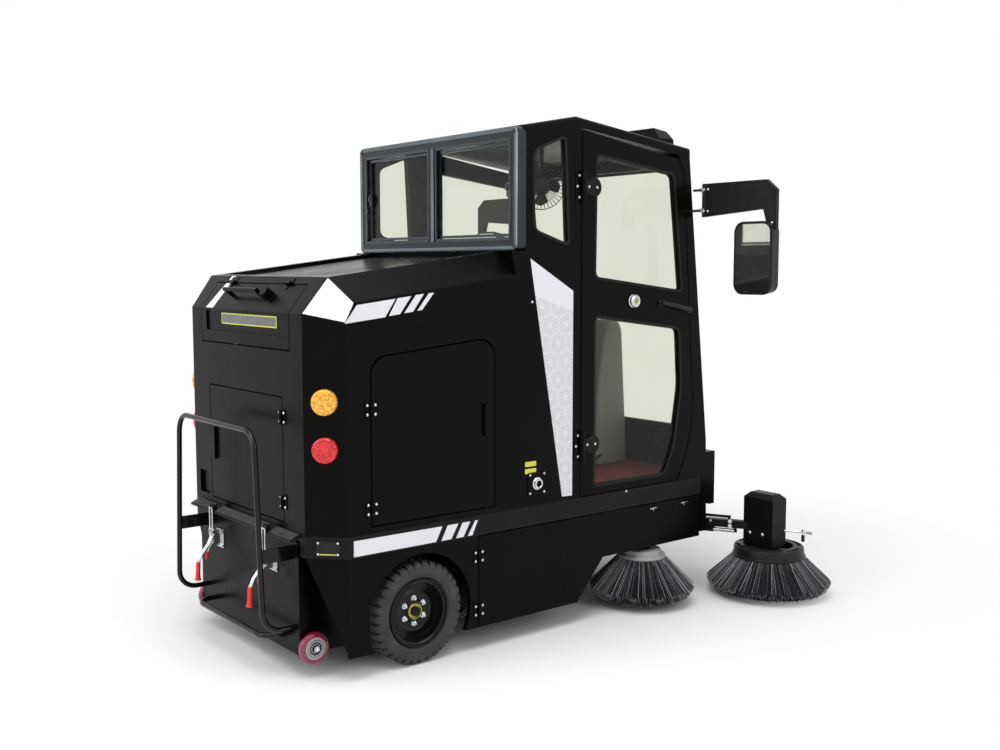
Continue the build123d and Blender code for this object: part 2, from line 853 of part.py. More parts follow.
def cab_door_outline(shrink):
    """Outline of the cab door, with its swept lower front edge."""
    seam = door_seam_x + door_gap / 2 + shrink
    low = door_bottom_z + shrink
    top_rear = (seam, roof_z(roof_peak_x) - roof_thick - door_gap - 4 - shrink)
    top_front = (door_top_front[0] - shrink, door_top_front[1] - shrink)
    upper = (door_upper_front[0] - shrink, door_upper_front[1])
    knee = (door_knee[0] - shrink, door_knee[1])
    toe = (door_toe_x - shrink, low)
    with BuildLine() as edge:
        Polyline(knee, upper, top_front, top_rear, (seam, low), toe)
        TangentArc(knee, toe, tangent=(knee[0] - upper[0], knee[1] - upper[1]))
    make_face(edge.edges())


with BuildPart() as front_frame:
    head_z = roof_z(roof_front_x) - roof_thick
    with BuildSketch(Plane.XZ):
        outline([
            (nose_bend_x - nose_thick, nose_bend_z), (nose_bend_x, nose_bend_z), (roof_front_x, head_z),
            (roof_front_x - nose_thick + 5, roof_z(roof_front_x - nose_thick + 5) - roof_thick),
        ])
    extrude(amount=side_y, both=True)
    # The windscreen's opening
    with BuildSketch(screen_plane):
        with Locations((0, (screen_z[0] + screen_z[1]) / 2)):
            RectangleRounded(2 * screen_half, screen_z[1] - screen_z[0], screen_corner_r)
    extrude(amount=500, mode=Mode.SUBTRACT)
    # Side posts in front of the doors
    with BuildSketch(Plane.XZ.offset(side_y)):
        outline([
            (door_toe_x - 40, belt_z), (nose_inner_x, belt_z), (nose_bend_x - nose_thick, nose_bend_z),
            (roof_front_x - nose_thick + 5, roof_z(roof_front_x - nose_thick + 5) - roof_thick),
            (door_top_front[0] + 4, roof_z(door_top_front[0] + 4) - roof_thick),
        ])
    posts = extrude(amount=-cab_wall, mode=Mode.PRIVATE)
    add(posts)
    mirror(posts, about=Plane.XZ)
    with BuildSketch(Plane.XZ):
        cab_door_outline(-door_gap)
    extrude(amount=side_y, both=True, mode=Mode.SUBTRACT)
write_piece("front_frame", front_frame)

with BuildPart() as front_panel:
    with BuildSketch(Plane.XZ):
        outline([
            (nose_foot_x - nose_thick, nose_foot_z), (nose_foot_x, nose_foot_z), (nose_bend_x, nose_bend_z),
            (nose_bend_x - nose_thick, nose_bend_z),
        ])
    extrude(amount=side_y, both=True)
    # Lugs and pins that carry the front brush arms
    for lug_z in (arm_z - arm_tube_height / 2 - lug_thick, arm_z + arm_tube_height / 2):
        with BuildSketch(Plane.XY.offset(lug_z)):
            for side in (-1, 1):
                with Locations((arm_pivot[0], side * arm_pivot[1])):
                    Circle(arm_tube_r)
                with Locations(((nose_foot_x - 5 + arm_pivot[0]) / 2, side * arm_pivot[1])):
                    Rectangle(arm_pivot[0] - nose_foot_x + 5, 2 * arm_tube_r)
        extrude(amount=lug_thick)
    with BuildSketch(Plane.XY.offset(arm_z - arm_tube_height / 2 - lug_thick)):
        with Locations(*[(arm_pivot[0], side * arm_pivot[1]) for side in (-1, 1)]):
            Circle(arm_pin_r)
    extrude(amount=arm_tube_height + 2 * lug_thick)
write_piece("front_panel", front_panel)

with BuildPart() as front_bumper:
    with BuildSketch(Plane.XZ):
        slant_z = bumper_z[0] + bumper_slant
        bumper_x = nose_foot_x + bumper_depth
        outline([
            (nose_x(slant_z), slant_z), (nose_foot_x + bumper_slant, bumper_z[0]), (bumper_x, bumper_z[0]),
            (bumper_x, bumper_z[1] - bumper_edge), (bumper_x - bumper_edge, bumper_z[1]),
            (nose_x(bumper_z[1]), bumper_z[1]),
        ])
    extrude(amount=bumper_half, both=True)
    ends = front_bumper.edges().filter_by(Axis.Z).group_by(Axis.X)[-1]
    chamfer(ends, bumper_edge)
    # Round pockets for the headlamps
    with BuildSketch(Plane.YZ.offset(nose_foot_x + bumper_depth)):
        with Locations((-headlamp_y, headlamp_z), (headlamp_y, headlamp_z)):
            Circle(headlamp_r)
    extrude(amount=-headlamp_depth - lens_sink, mode=Mode.SUBTRACT)
write_piece("front_bumper", front_bumper)

with BuildPart() as headlamps:
    with BuildSketch(Plane.YZ.offset(nose_foot_x + bumper_depth - headlamp_depth - lens_sink)):
        with Locations((-headlamp_y, headlamp_z), (headlamp_y, headlamp_z)):
            Circle(headlamp_r - seat_gap)
    extrude(amount=headlamp_depth)
    fillet(headlamps.faces().group_by(Axis.X)[-1].edges(), headlamp_depth * 0.4)
write_piece("headlamps", headlamps)

with BuildPart() as light_bar:
    bar_rear = light_bar_x - light_bar_depth / 2
    bar_front = light_bar_x + light_bar_depth / 2
    with BuildSketch(Plane.XZ):
        outline([
            (bar_rear, roof_z(bar_rear)), (bar_front, roof_z(bar_front)),
            (bar_front - 12, roof_z(bar_front) + light_bar_height),
            (bar_rear + 25, roof_z(bar_rear) + light_bar_height),
        ])
    extrude(amount=light_bar_half, both=True)
    for side in (-1, 1):
        end_cut = Plane(
            origin=(light_bar_x, side * light_bar_half, roof_z(bar_rear) + light_bar_height / 3),
            z_dir=(0, side, 1),
        )
        split(bisect_by=end_cut, keep=Keep.BOTTOM)
write_piece("light_bar", light_bar)

with BuildPart() as fixed_glass:
    # Sliding panes of the rear window
    with BuildSketch(Plane.YZ.offset(rear_frame_x + rear_frame_depth / 2)):
        with Locations((0, frame_foot_z + frame_height / 2)):
            with GridLocations(pane_width + frame_bar, 0, 2, 1):
                RectangleRounded(pane_width - 2 * seat_gap, pane_height - 2 * seat_gap, frame_corner_r / 2)
    extrude(amount=glass_thick)
    # Quarter windows
    with BuildSketch(Plane.XZ.offset(side_y - cab_wall / 2)):
        quarter_window(seat_gap)
    quarter_pane = extrude(amount=glass_thick)
    mirror(quarter_pane, about=Plane.XZ)
with BuildPart() as windscreen:
    pane_x = nose_thick / 2
    low_x = nose_x(screen_z[0]) - pane_x
    high_x = nose_x(screen_z[1]) - pane_x
    with BuildSketch(Plane.XZ):
        outline([
            (low_x - glass_thick, screen_z[0]), (low_x, screen_z[0]),
            (high_x, screen_z[1]), (high_x - glass_thick, screen_z[1]),
        ])
    extrude(amount=side_y, both=True)
    with BuildSketch(screen_plane):
        with Locations((0, (screen_z[0] + screen_z[1]) / 2)):
            RectangleRounded(
                2 * (screen_half - seat_gap), screen_z[1] - screen_z[0] - 2 * seat_gap, screen_corner_r,
            )
    extrude(amount=500, mode=Mode.INTERSECT)
write_piece("windscreen", windscreen)
write_piece("fixed_glass", fixed_glass)

with BuildPart() as cab_floor:
    with BuildSketch(Plane.XY.offset(belt_z)):
        floor_y = side_y - cab_wall - door_gap
        floor_front_x = nose_x(belt_z + floor_thick) - nose_thick
        outline([
            (bulkhead_front_foot_x, -floor_y), (floor_front_x, -floor_y),
            (floor_front_x, floor_y), (bulkhead_front_foot_x, floor_y),
        ])
    extrude(amount=floor_thick)
write_piece("cab_floor", cab_floor)

floor_z = belt_z + floor_thick
with BuildPart() as seat_base:
    with BuildSketch(Plane.XZ):
        outline([
            (seat_x - 60, floor_z), (seat_x + 300, floor_z), (seat_x + 340, seat_z), (seat_x - 60, seat_z),
        ])
    extrude(amount=seat_width * 0.42, both=True)
write_piece("seat_base", seat_base)

with BuildPart() as seat_cushion:
    with BuildSketch(Plane.XZ):
        rounded_outline([
            (seat_x - 60, seat_z), (seat_x + seat_length, seat_z),
            (seat_x + seat_length, seat_z + seat_thick),
            (seat_x - 60, seat_z + seat_thick),
        ], 30)
    extrude(amount=seat_width / 2, both=True)
write_piece("seat_cushion", seat_cushion)

with BuildPart() as seat_back:
    lean = back_height * 0.2
    with BuildSketch(Plane.XZ):
        rounded_outline([
            (seat_x - 60, seat_z + seat_thick + seat_gap), (seat_x + 40, seat_z + seat_thick + seat_gap),
            (seat_x + 30 - lean, seat_z + back_height), (seat_x - 50 - lean, seat_z + back_height),
        ], 28)
    extrude(amount=seat_width / 2, both=True)
write_piece("seat_back", seat_back)

# Steering: a leaning column on the floor, with the handwheel on its top
column_foot = Vector(column_foot_x, 0, floor_z)
wheel_centre = Vector(handwheel_x, 0, handwheel_z)
column_dir = (wheel_centre - column_foot).normalized()
column_length = (wheel_centre - column_foot).length
column_plane = Plane(origin=column_foot, x_dir=(0, 1, 0), z_dir=column_dir)

with BuildPart() as steering_column:
    with BuildSketch(column_plane.offset(-60)):
        Circle(column_r)
    extrude(amount=column_length + 60 - 34)
    with BuildSketch(Plane.XY.offset(floor_z)):
        with Locations((column_foot_x - 15, 0)):
            RectangleRounded(230, 190, 30)
    extrude(amount=170, taper=14)
    with BuildSketch(column_plane.offset(column_length - 240)):
        RectangleRounded(210, 130, 22)
    extrude(amount=150)
    split(bisect_by=Plane.XY.offset(floor_z), keep=Keep.TOP)
write_piece("steering_column", steering_column)

with BuildPart() as handwheel:
    rim_plane = column_plane.offset(column_length)
    hub_plane = column_plane.offset(column_length - 34 + seat_gap)
    with BuildSketch(hub_plane):
        Circle(column_r + 8)
    extrude(amount=44)
    rim_start = rim_plane.origin + rim_plane.x_dir * handwheel_r
    with BuildSketch(Plane(origin=rim_start, x_dir=rim_plane.x_dir, z_dir=rim_plane.y_dir)):
        Circle(handwheel_tube_r)
    revolve(axis=Axis(rim_plane.origin, rim_plane.z_dir))
    with BuildSketch(rim_plane.offset(-8)):
        with PolarLocations(handwheel_r / 2, 3, start_angle=90):
            Rectangle(handwheel_r, 26)
    extrude(amount=10)
write_piece("handwheel", handwheel)

fan_plane = Plane(origin=(fan_x, -fan_y, fan_z), z_dir=fan_aim)
stalk_foot = fan_plane.origin - fan_plane.z_dir * fan_motor_length / 2
stalk_top_z = roof_z(stalk_foot.X - fan_stalk_r) - roof_thick - seat_gap
with BuildPart() as cab_fan:
    # Wire cage in front of the motor, open between its bars
    with BuildSketch(fan_plane):
        Circle(fan_r)
        Circle(fan_r - 6, mode=Mode.SUBTRACT)
        with PolarLocations(fan_r / 2, 12):
            Rectangle(fan_r, 3)
        Circle(24)
    extrude(amount=10)
    with BuildSketch(fan_plane):
        Circle(fan_motor_r)
    extrude(amount=-fan_motor_length, taper=12)
    # Stalk from the motor up to the roof
    with BuildSketch(Plane.XY.offset(stalk_foot.Z)):
        with Locations((stalk_foot.X, stalk_foot.Y)):
            Circle(fan_stalk_r)
    extrude(amount=stalk_top_z - stalk_foot.Z)
write_piece("cab_fan", cab_fan)

# Mirrors: hinge tube on two pins, flat arm, hanging head
arm_top_z = mirror_arm_z[1]
tube_y = side_y + mirror_tube_out
arm_out_y = side_y + mirror_reach
with BuildPart() as mirrors:
    with BuildSketch(Plane.XY.offset(mirror_arm_z[0])):
        with Locations((mirror_x, -tube_y)):
            Circle(mirror_tube_r)
    extrude(amount=arm_top_z - mirror_arm_z[0])
    for pin_z in (mirror_arm_z[0] + 30, arm_top_z - 30):
        with BuildSketch(Plane.XZ.offset(side_y)):
            with Locations((mirror_x - 25, pin_z)):
                Circle(mirror_pin_r)
        extrude(amount=mirror_tube_out)
        with BuildSketch(Plane.XY.offset(pin_z - mirror_pin_r)):
            with Locations((mirror_x - 12, -tube_y)):
                Rectangle(38, 2 * mirror_pin_r)
        extrude(amount=2 * mirror_pin_r)
    with BuildSketch(Plane.YZ.offset(mirror_x - mirror_arm_thick / 2)):
        outline([
            (-tube_y, mirror_arm_z[0]), (-arm_out_y + 70, mirror_arm_z[0] + 25),
            (-arm_out_y + 40, mirror_head_z[1] - 40), (-arm_out_y, mirror_head_z[1] - 40),
            (-arm_out_y, arm_top_z - 45), (-arm_out_y + 55, arm_top_z),
            (-tube_y, arm_top_z),
        ])
    extrude(amount=mirror_arm_thick)
    head_y = arm_out_y - mirror_head_width / 2
    head_mid_z = (mirror_head_z[0] + mirror_head_z[1]) / 2
    with BuildSketch(Plane.YZ.offset(mirror_x - mirror_head_depth / 2)):
        with Locations((-head_y, head_mid_z)):
            RectangleRounded(mirror_head_width, mirror_head_z[1] - mirror_head_z[0], 50)
    extrude(amount=mirror_head_depth, taper=9)
    mirror(mirrors.part, about=Plane.XZ)
write_piece("mirrors", mirrors)

with BuildPart() as mirror_glass:
    with BuildSketch(Plane.YZ.offset(mirror_x - mirror_head_depth / 2)):
        for side in (-1, 1):
            with Locations((side * head_y, head_mid_z)):
                RectangleRounded(mirror_head_width - 24, mirror_head_z[1] - mirror_head_z[0] - 24, 40)
    extrude(amount=-3)
write_piece("mirror_glass", mirror_glass)

with BuildPart() as cab_door:
    with BuildSketch(side_plane):
        cab_door_outline(0)
        rounded_outline(upper_pane, pane_corner_r, mode=Mode.SUBTRACT)
        rounded_outline(lower_pane, pane_corner_r, mode=Mode.SUBTRACT)
    extrude(amount=-cab_wall)
    for moving, fixed in cab_door_hinges:
        add(moving)
    # Round ends of the hinges' straps
    with BuildSketch(side_plane):
        with Locations(*[(door_seam_x + strap_reach - strap_end_r, z) for z in cab_hinge_z]):
            Circle(strap_end_r)
        with Locations(*[(door_seam_x + hinge_stand + 1, z) for z in cab_hinge_z]):
            Rectangle(3 * strap_end_r, 3 * strap_end_r, align=(Align.MAX, Align.CENTER), mode=Mode.SUBTRACT)
    extrude(amount=strap_thick)
    # Round lock body
    with BuildSketch(side_plane):
        with Locations(door_lock):
            Circle(lock_r)
    extrude(amount=lock_depth)
write_pair("cab_door", cab_door)

with BuildPart() as door_glass:
    for pane in (upper_pane, lower_pane):
        with BuildSketch(Plane.XZ.offset(side_y - cab_wall / 2)):
            rounded_outline(pane, pane_corner_r)
            offset(amount=-seat_gap, mode=Mode.REPLACE)
        extrude(amount=glass_thick)
write_pair("door_glass", door_glass)


def tread_outline(tip, valley):
    """Outline of a tyre's ring of lugs, seen from its side."""
    corners = [(-lug_share, valley), (-lug_share, tip), (lug_share, tip), (lug_share, valley)]
    turns = [(2 * pi * (lug + share) / lug_count, r) for lug in range(lug_count) for share, r in corners]
    outline([(r * cos(turn), r * sin(turn)) for turn, r in turns])


def tyre_part(place, radius, width, bead_r):
    """A tyre with block lugs across its tread that lean in at both shoulders."""
    straight = width / 2 - shoulder_run
    valley = radius - lug_height
    with BuildPart() as tyre:
        with BuildSketch(Plane.XZ):
            tread_outline(radius, valley)
        extrude(amount=straight, both=True)
        for side in (-1, 1):
            with BuildSketch(Plane.XZ.offset(side * straight)):
                tread_outline(radius, valley)
            with BuildSketch(Plane.XZ.offset(side * width / 2)):
                tread_outline(radius - shoulder_drop, valley - shoulder_drop)
            loft(ruled=True)
        with BuildSketch(Plane.XZ):
            Circle(bead_r)
        extrude(amount=width, both=True, mode=Mode.SUBTRACT)
    return tyre.part.moved(Location(place))


def rim_part(place, radius, width, bore_r, hub_half):
    """A deep-dish rim with its flanges, disc, hub and wheel nuts; its face looks towards -y."""
    half = width / 2
    disc_y = -0.12 * width
    with BuildPart() as rim:
        with BuildSketch(Plane.XY):
            outline([
                (radius - 6, -half), (radius, 8 - half), (radius, half - 8), (radius - 6, half),
                (radius - 14, half), (radius - 14, -half),
            ])
            outline([
                (bore_r, disc_y - 6), (radius - 10, disc_y - 6),
                (radius - 10, disc_y + 4), (bore_r, disc_y + 4),
            ])
            outline([
                (bore_r, -hub_half), (bore_r + 22, -hub_half), (bore_r + 26, 6 - hub_half),
                (bore_r + 26, hub_half), (bore_r, hub_half),
            ])
        revolve(axis=Axis.Y)
        with BuildSketch(Plane.XZ.offset(-disc_y + 2)):
            with PolarLocations(radius * nut_circle_share, nut_count):
                RegularPolygon(nut_r, 6)
        extrude(amount=22)
    return rim.part.moved(Location(place))


# Rear wheels on the stub axles
wheel_y = tyre_out_y - tyre_width / 2
with BuildPart() as rear_tyre:
    add(tyre_part((axle_x, -wheel_y, tyre_r), tyre_r, tyre_width, rim_r))
write_pair("rear_tyre", rear_tyre)

with BuildPart() as rear_rim:
    add(rim_part((axle_x, -wheel_y, tyre_r), rim_r - seat_gap, tyre_width - 18, hub_bore_r, rear_hub_half))
write_pair("rear_rim", rear_rim)

# Steered front wheel in its fork
fork_plate_z = front_tyre_r * 2 + fork_clear
leg_y = front_tyre_width / 2 + 8
with BuildPart() as steering_fork:
    with BuildSketch(Plane.XY.offset(fork_plate_z)):
        with Locations((front_wheel_x, 0)):
            RectangleRounded(120, 2 * (leg_y + fork_leg), 20)
    extrude(amount=fork_leg)
    with BuildSketch(Plane.XY.offset(fork_plate_z + fork_leg)):
        with Locations((front_wheel_x, 0)):
            Circle(kingpin_r)
    extrude(amount=kingpin_top_z - fork_plate_z - fork_leg)
    with BuildSketch(Plane.XY.offset(fork_plate_z + fork_leg)):
        with Locations((front_wheel_x, 0)):
            Circle(headstock_r - 4)
    extrude(amount=headstock_z - fork_plate_z - fork_leg - seat_gap)
    for side in (-1, 1):
        with BuildSketch(Plane.XZ.offset(-side * leg_y)):
            outline([
                (front_wheel_x - 55, fork_plate_z + 5), (front_wheel_x - 30, front_tyre_r - 30),
                (front_wheel_x + 30, front_tyre_r - 30), (front_wheel_x + 55, fork_plate_z + 5),
            ])
        extrude(amount=-side * fork_leg)
    with BuildSketch(Plane.XZ):
        with Locations((front_wheel_x, front_tyre_r)):
            Circle(front_axle_r)
    extrude(amount=leg_y + fork_leg / 2, both=True)
write_piece("steering_fork", steering_fork)

with BuildPart() as front_tyre:
    add(tyre_part((front_wheel_x, 0, front_tyre_r), front_tyre_r, front_tyre_width, front_rim_r))
write_piece("front_tyre", front_tyre)

with BuildPart() as front_rim:
    add(rim_part(
        (front_wheel_x, 0, front_tyre_r), front_rim_r - seat_gap, front_tyre_width - 16,
        front_axle_r + shaft_clear, leg_y - seat_gap,
    ))
write_piece("front_rim", front_rim)

# Dust bin: an open-fronted hopper with casters, pull handle and latches
with BuildPart() as dust_bin:
    with BuildSketch(Plane.XZ):
        outline([
            (bin_rear_x, bin_bottom_z), (bin_front_x, bin_bottom_z), (bin_front_x, bin_bottom_z + 70),
            (bin_front_x + 1, bin_top_z), (bin_rear_x, bin_top_z),
        ])
    extrude(amount=bin_half, both=True)
    with BuildSketch(Plane.XZ):
        outline([
            (bin_rear_x + bin_wall, bin_bottom_z + bin_wall),
            (bin_front_x - bin_wall, bin_bottom_z + bin_wall),
            (bin_front_x - bin_wall, bin_bottom_z + 70), (bin_front_x + 20, bin_bottom_z + 70),
            (bin_front_x + 20, bin_top_z - bin_wall), (bin_rear_x + bin_wall, bin_top_z - bin_wall),
        ])
    extrude(amount=bin_half - bin_wall, both=True, mode=Mode.SUBTRACT)
    # Caster forks on the side walls
    for side in (-1, 1):
        with BuildSketch(Plane.XZ.offset(-side * (bin_half - 1))):
            with Locations((caster_x, caster_z)):
                Circle(caster_pin_r)
        extrude(amount=-side * (caster_y + caster_width / 2 + 7 - bin_half))
        with BuildSketch(Plane.XZ.offset(-side * (caster_y + caster_width / 2 + 1))):
            with Locations((caster_x, caster_z)):
                Circle(caster_pin_r + 6)
        extrude(amount=-side * 5)
write_piece("dust_bin", dust_bin)

with BuildPart() as bin_handle:
    # Loop: out of the bin's face, up one leg, across the top and down the other
    top_z = handle_top_z - handle_tube_r
    with BuildLine() as loop:
        FilletPolyline(
            (bin_rear_x, -handle_half, handle_low_z), (handle_x, -handle_half, handle_low_z),
            (handle_x, -handle_top_half, top_z), (handle_x, handle_top_half, top_z),
            (handle_x, handle_half, handle_low_z), (bin_rear_x, handle_half, handle_low_z),
            radius=handle_bend_r,
        )
    with BuildSketch(Plane(origin=loop.line @ 0, z_dir=loop.line % 0)):
        Circle(handle_tube_r)
    sweep()
    # Flat brackets steady the legs
    for side in (-1, 1):
        with BuildSketch(Plane.XZ.offset(-side * (handle_half - bracket_in))):
            with Locations(((handle_x + bin_rear_x) / 2, handle_bracket_z)):
                Rectangle(bin_rear_x - handle_x, bracket_height)
        extrude(amount=side * bracket_thick)
    # Low bar across the bin's foot
    with BuildLine(Plane.XY.offset(low_bar_z)) as foot:
        FilletPolyline(
            (bin_rear_x, -low_bar_half), (low_bar_x, -low_bar_half), (low_bar_x, low_bar_half),
            (bin_rear_x, low_bar_half), radius=low_bar_bend_r,
        )
    with BuildSketch(Plane(origin=foot.line @ 0, z_dir=foot.line % 0)):
        Circle(handle_tube_r)
    sweep()
write_piece("bin_handle", bin_handle)

# Toggle latches: base plate on the bin, U-bolt up behind the catch, grip hanging out
hook_x = rear_x - flange_depth - seat_gap - hook_r
hook_top_z = flange_z + flange_thick + catch_height * 0.5
latch_half = 14.0
with BuildPart() as bin_latches:
    for side in (-1, 1):
        middle = Plane.XZ.offset(-side * latch_y)
        with BuildSketch(Plane.YZ.offset(bin_rear_x)):
            with Locations((side * latch_y, latch_base_z)):
                Rectangle(46, 90)
        extrude(amount=-6)
        with BuildSketch(middle):
            outline([
                (bin_rear_x - 5, latch_base_z - 28), (bin_rear_x - 5, latch_base_z + 28),
                (hook_x - 6, latch_base_z + 14), (hook_x - 12, latch_base_z - 16),
            ])
            outline([
                (hook_x - 12, latch_base_z), (grip_x, grip_z - 8), (grip_x + 20, grip_z),
                (hook_x + 10, latch_base_z - 16),
            ])
        extrude(amount=latch_half, both=True)
        with BuildSketch(Plane.XY.offset(latch_base_z - 10)):
            for rod in (-1, 1):
                with Locations((hook_x, side * latch_y + rod * (latch_half - 2))):
                    Circle(hook_r - 0.5)
        extrude(amount=hook_top_z - latch_base_z + 10)
        with BuildSketch(middle):
            with Locations((hook_x, hook_top_z)):
                Circle(hook_r)
        extrude(amount=latch_half + hook_r, both=True)
write_piece("bin_latches", bin_latches)

with BuildPart() as caster:
    with BuildSketch(Plane.XY):
        outline([
            (caster_pin_r + shaft_clear, -caster_width / 2), (caster_r - 6, -caster_width / 2),
            (caster_r, 6 - caster_width / 2), (caster_r, caster_width / 2 - 6),
            (caster_r - 6, caster_width / 2),
            (caster_pin_r + shaft_clear, caster_width / 2),
        ])
    revolve(axis=Axis.Y)
with BuildPart() as caster_placed:
    add(caster.part.moved(Location((caster_x, -caster_y, caster_z))))
write_pair("caster", caster_placed)

# Roller brush: core with slanted rows of bristle
with BuildPart() as roller_brush:
    with BuildSketch(Plane.XZ.offset(-roller_half)):
        with Locations((roller_x, roller_z)):
            Circle(roller_core_r)
    extrude(amount=2 * roller_half)
    with BuildSketch(Plane.XZ.offset(-roller_half)):
        with Locations((roller_x, roller_z)):
            with PolarLocations((roller_r + roller_core_r) / 2 - 3, roller_rows):
                Rectangle(roller_r - roller_core_r + 6, 20)
            Circle(roller_r, mode=Mode.INTERSECT)
    extrude(amount=2 * roller_half)
    with BuildSketch(Plane.XZ.offset(-roller_half - 1)):
        with Locations((roller_x, roller_z)):
            Circle(roller_bore_r)
    extrude(amount=2 * roller_half + 2, mode=Mode.SUBTRACT)
write_piece("roller_brush", roller_brush)


def disc_brush(place, reach, root_r, root_z, lift):
    """A cup of bristle hanging under a plate: a flared ring with tufts standing proud of it.

    The bristle is widest a little above its lower edge, which is lift above the floor.
    """
    widest_z = lift + tuft_rise
    half_width = pi * root_r / tuft_count * 0.7
    with BuildPart() as brush:
        with BuildSketch(Plane.XZ):
            outline([
                (root_r - 26, root_z), (root_r, root_z), (reach - 5, widest_z),
                (reach - tuft_undercut - 6, lift), (reach - 2 * tuft_undercut, lift),
            ])
        revolve(axis=Axis.Z)
        with BuildSketch(Plane.XZ.offset(-half_width)):
            outline([
                (root_r - 10, root_z), (root_r + 4, root_z), (reach, widest_z),
                (reach - tuft_undercut, lift), (reach - 2 * tuft_undercut, lift),
            ])
        tuft = extrude(amount=2 * half_width, mode=Mode.PRIVATE)
        add([tuft.rotate(Axis.Z, 360 / tuft_count * index) for index in range(tuft_count)])
        with BuildSketch(Plane.XY):
            Circle(reach)
        extrude(amount=root_z, mode=Mode.INTERSECT)
    return brush.part.moved(Location((place[0], -place[1], 0)))


# Brushes under the cab's sides, with the motors that drive them
with BuildPart() as side_brush_piece:
    add(disc_brush(side_brush, side_brush_r, side_plate_r, side_plate_z, side_brush_lift))
    with BuildSketch(Plane.XY.offset(side_plate_z)):
        with Locations((side_brush[0], -side_brush[1])):
            Circle(side_plate_r)
    extrude(amount=side_plate_thick)
write_pair("side_brush", side_brush_piece)

with BuildPart() as brush_motors:
    motor_foot = side_plate_z + side_plate_thick + seat_gap
    for side in (-1, 1):
        with BuildSketch(Plane.XY.offset(motor_foot)):
            with Locations((side_brush[0], side * side_brush[1])):
                Circle(side_motor_r)
        extrude(amount=band_z - motor_foot - side_hanger_thick)
        with BuildSketch(Plane.XY.offset(band_z - side_hanger_thick)):
            with Locations((side_brush[0], side * (side_brush[1] - 20))):
                Rectangle(120, 2 * side_motor_r + 20)
        extrude(amount=side_hanger_thick)
write_piece("brush_motors", brush_motors)

# Front brushes: swinging arm with its motor box, and the brush under it
arm_line = Vector(front_brush[0] - arm_pivot[0], -(front_brush[1] - arm_pivot[1]), 0)
arm_plane = Plane(origin=(arm_pivot[0], -arm_pivot[1], arm_z), x_dir=arm_line, z_dir=(0, 0, 1))
arm_length = arm_line.length
box_middle = arm_plane.origin + arm_line.normalized() * (arm_length - motor_box_back)
box_plane = Plane(origin=(box_middle.X, box_middle.Y, motor_foot_z), x_dir=(1, 0, 0), z_dir=(0, 0, 1))
with BuildPart() as front_arm:
    with BuildSketch(Plane.XY.offset(arm_z - arm_tube_height / 2 + seat_gap)):
        with Locations((arm_pivot[0], -arm_pivot[1])):
            Circle(arm_tube_r)
    extrude(amount=arm_tube_height - 2 * seat_gap)
    beam_length = arm_length - motor_box_back
    with BuildSketch(arm_plane.offset(-arm_beam / 2)):
        with Locations((beam_length / 2, 0)):
            Rectangle(beam_length, arm_beam)
    extrude(amount=arm_beam)
    # Link rod above the beam and damper below it, each on two posts
    for rod_up, rod_r, rod_start, rod_end in arm_rods:
        for along in (rod_start, rod_end):
            with BuildSketch(arm_plane):
                with Locations((along, 0)):
                    Circle(rod_r - 1)
            extrude(amount=rod_up)
        rod_foot = arm_plane.from_local_coords((rod_start - rod_r, 0, rod_up))
        with BuildSketch(Plane(origin=rod_foot, z_dir=arm_line)):
            Circle(rod_r)
        extrude(amount=rod_end - rod_start + 2 * rod_r)
    # Motor box with its cut top edges
    with BuildSketch(box_plane):
        Rectangle(*motor_box)
    extrude(amount=motor_box_height)
    chamfer(front_arm.faces().sort_by(Axis.Z)[-1].edges(), motor_box_cut)
    with BuildSketch(Plane.XY.offset(arm_z - arm_tube_height / 2)):
        with Locations((arm_pivot[0], -arm_pivot[1])):
            Circle(arm_pin_r + shaft_clear)
    extrude(amount=arm_tube_height, mode=Mode.SUBTRACT)
write_pair("front_arm", front_arm)

with BuildPart() as front_brush_piece:
    add(disc_brush(front_brush, front_brush_r, ring_r - 12, ring_z, front_brush_lift))
    with BuildSketch(Plane.XY.offset(ring_z)):
        with Locations((front_brush[0], -front_brush[1])):
            Circle(ring_r)
            Circle(ring_r - 42, mode=Mode.SUBTRACT)
            with PolarLocations(ring_r / 2, 3, start_angle=30):
                Rectangle(ring_r, 54)
            Circle(56)
            Circle(ring_r, mode=Mode.INTERSECT)
    extrude(amount=motor_foot_z - seat_gap - ring_z)
write_pair("front_brush", front_brush_piece)
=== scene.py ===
"""Looks of a ride-on sweeper with a glazed cab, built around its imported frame.

x points forward, y to the left and z up, in metres. Run as a script it makes
the stage, dresses the frame's own pieces and adds the detail pieces.
"""
import random
from math import cos, pi, radians, sin

import bmesh
import bpy
from mathutils import Matrix, Vector


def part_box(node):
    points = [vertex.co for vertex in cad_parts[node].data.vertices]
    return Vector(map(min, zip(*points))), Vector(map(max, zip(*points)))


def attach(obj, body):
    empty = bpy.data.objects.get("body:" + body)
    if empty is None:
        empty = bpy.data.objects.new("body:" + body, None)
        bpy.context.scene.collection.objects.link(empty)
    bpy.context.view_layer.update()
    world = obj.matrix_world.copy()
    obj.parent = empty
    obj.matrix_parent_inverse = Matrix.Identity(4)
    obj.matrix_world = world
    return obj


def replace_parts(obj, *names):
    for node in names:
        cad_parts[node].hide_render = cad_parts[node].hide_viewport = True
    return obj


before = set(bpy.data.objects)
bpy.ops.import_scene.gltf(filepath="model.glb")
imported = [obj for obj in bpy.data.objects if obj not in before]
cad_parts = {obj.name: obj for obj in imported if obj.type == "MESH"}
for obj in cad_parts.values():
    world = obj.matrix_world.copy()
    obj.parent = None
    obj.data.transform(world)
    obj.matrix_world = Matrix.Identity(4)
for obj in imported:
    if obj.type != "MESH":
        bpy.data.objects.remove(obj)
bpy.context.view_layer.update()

bl_info = {
    "name": "Ride-on sweeper",
    "version": (1, 0, 0),
    "blender": (4, 5, 0),
    "location": "View3D > Sidebar > Sweeper",
    "description": "Dresses the frame of a ride-on sweeper and adds its detail pieces",
    "category": "Object",
}

finishes = {}

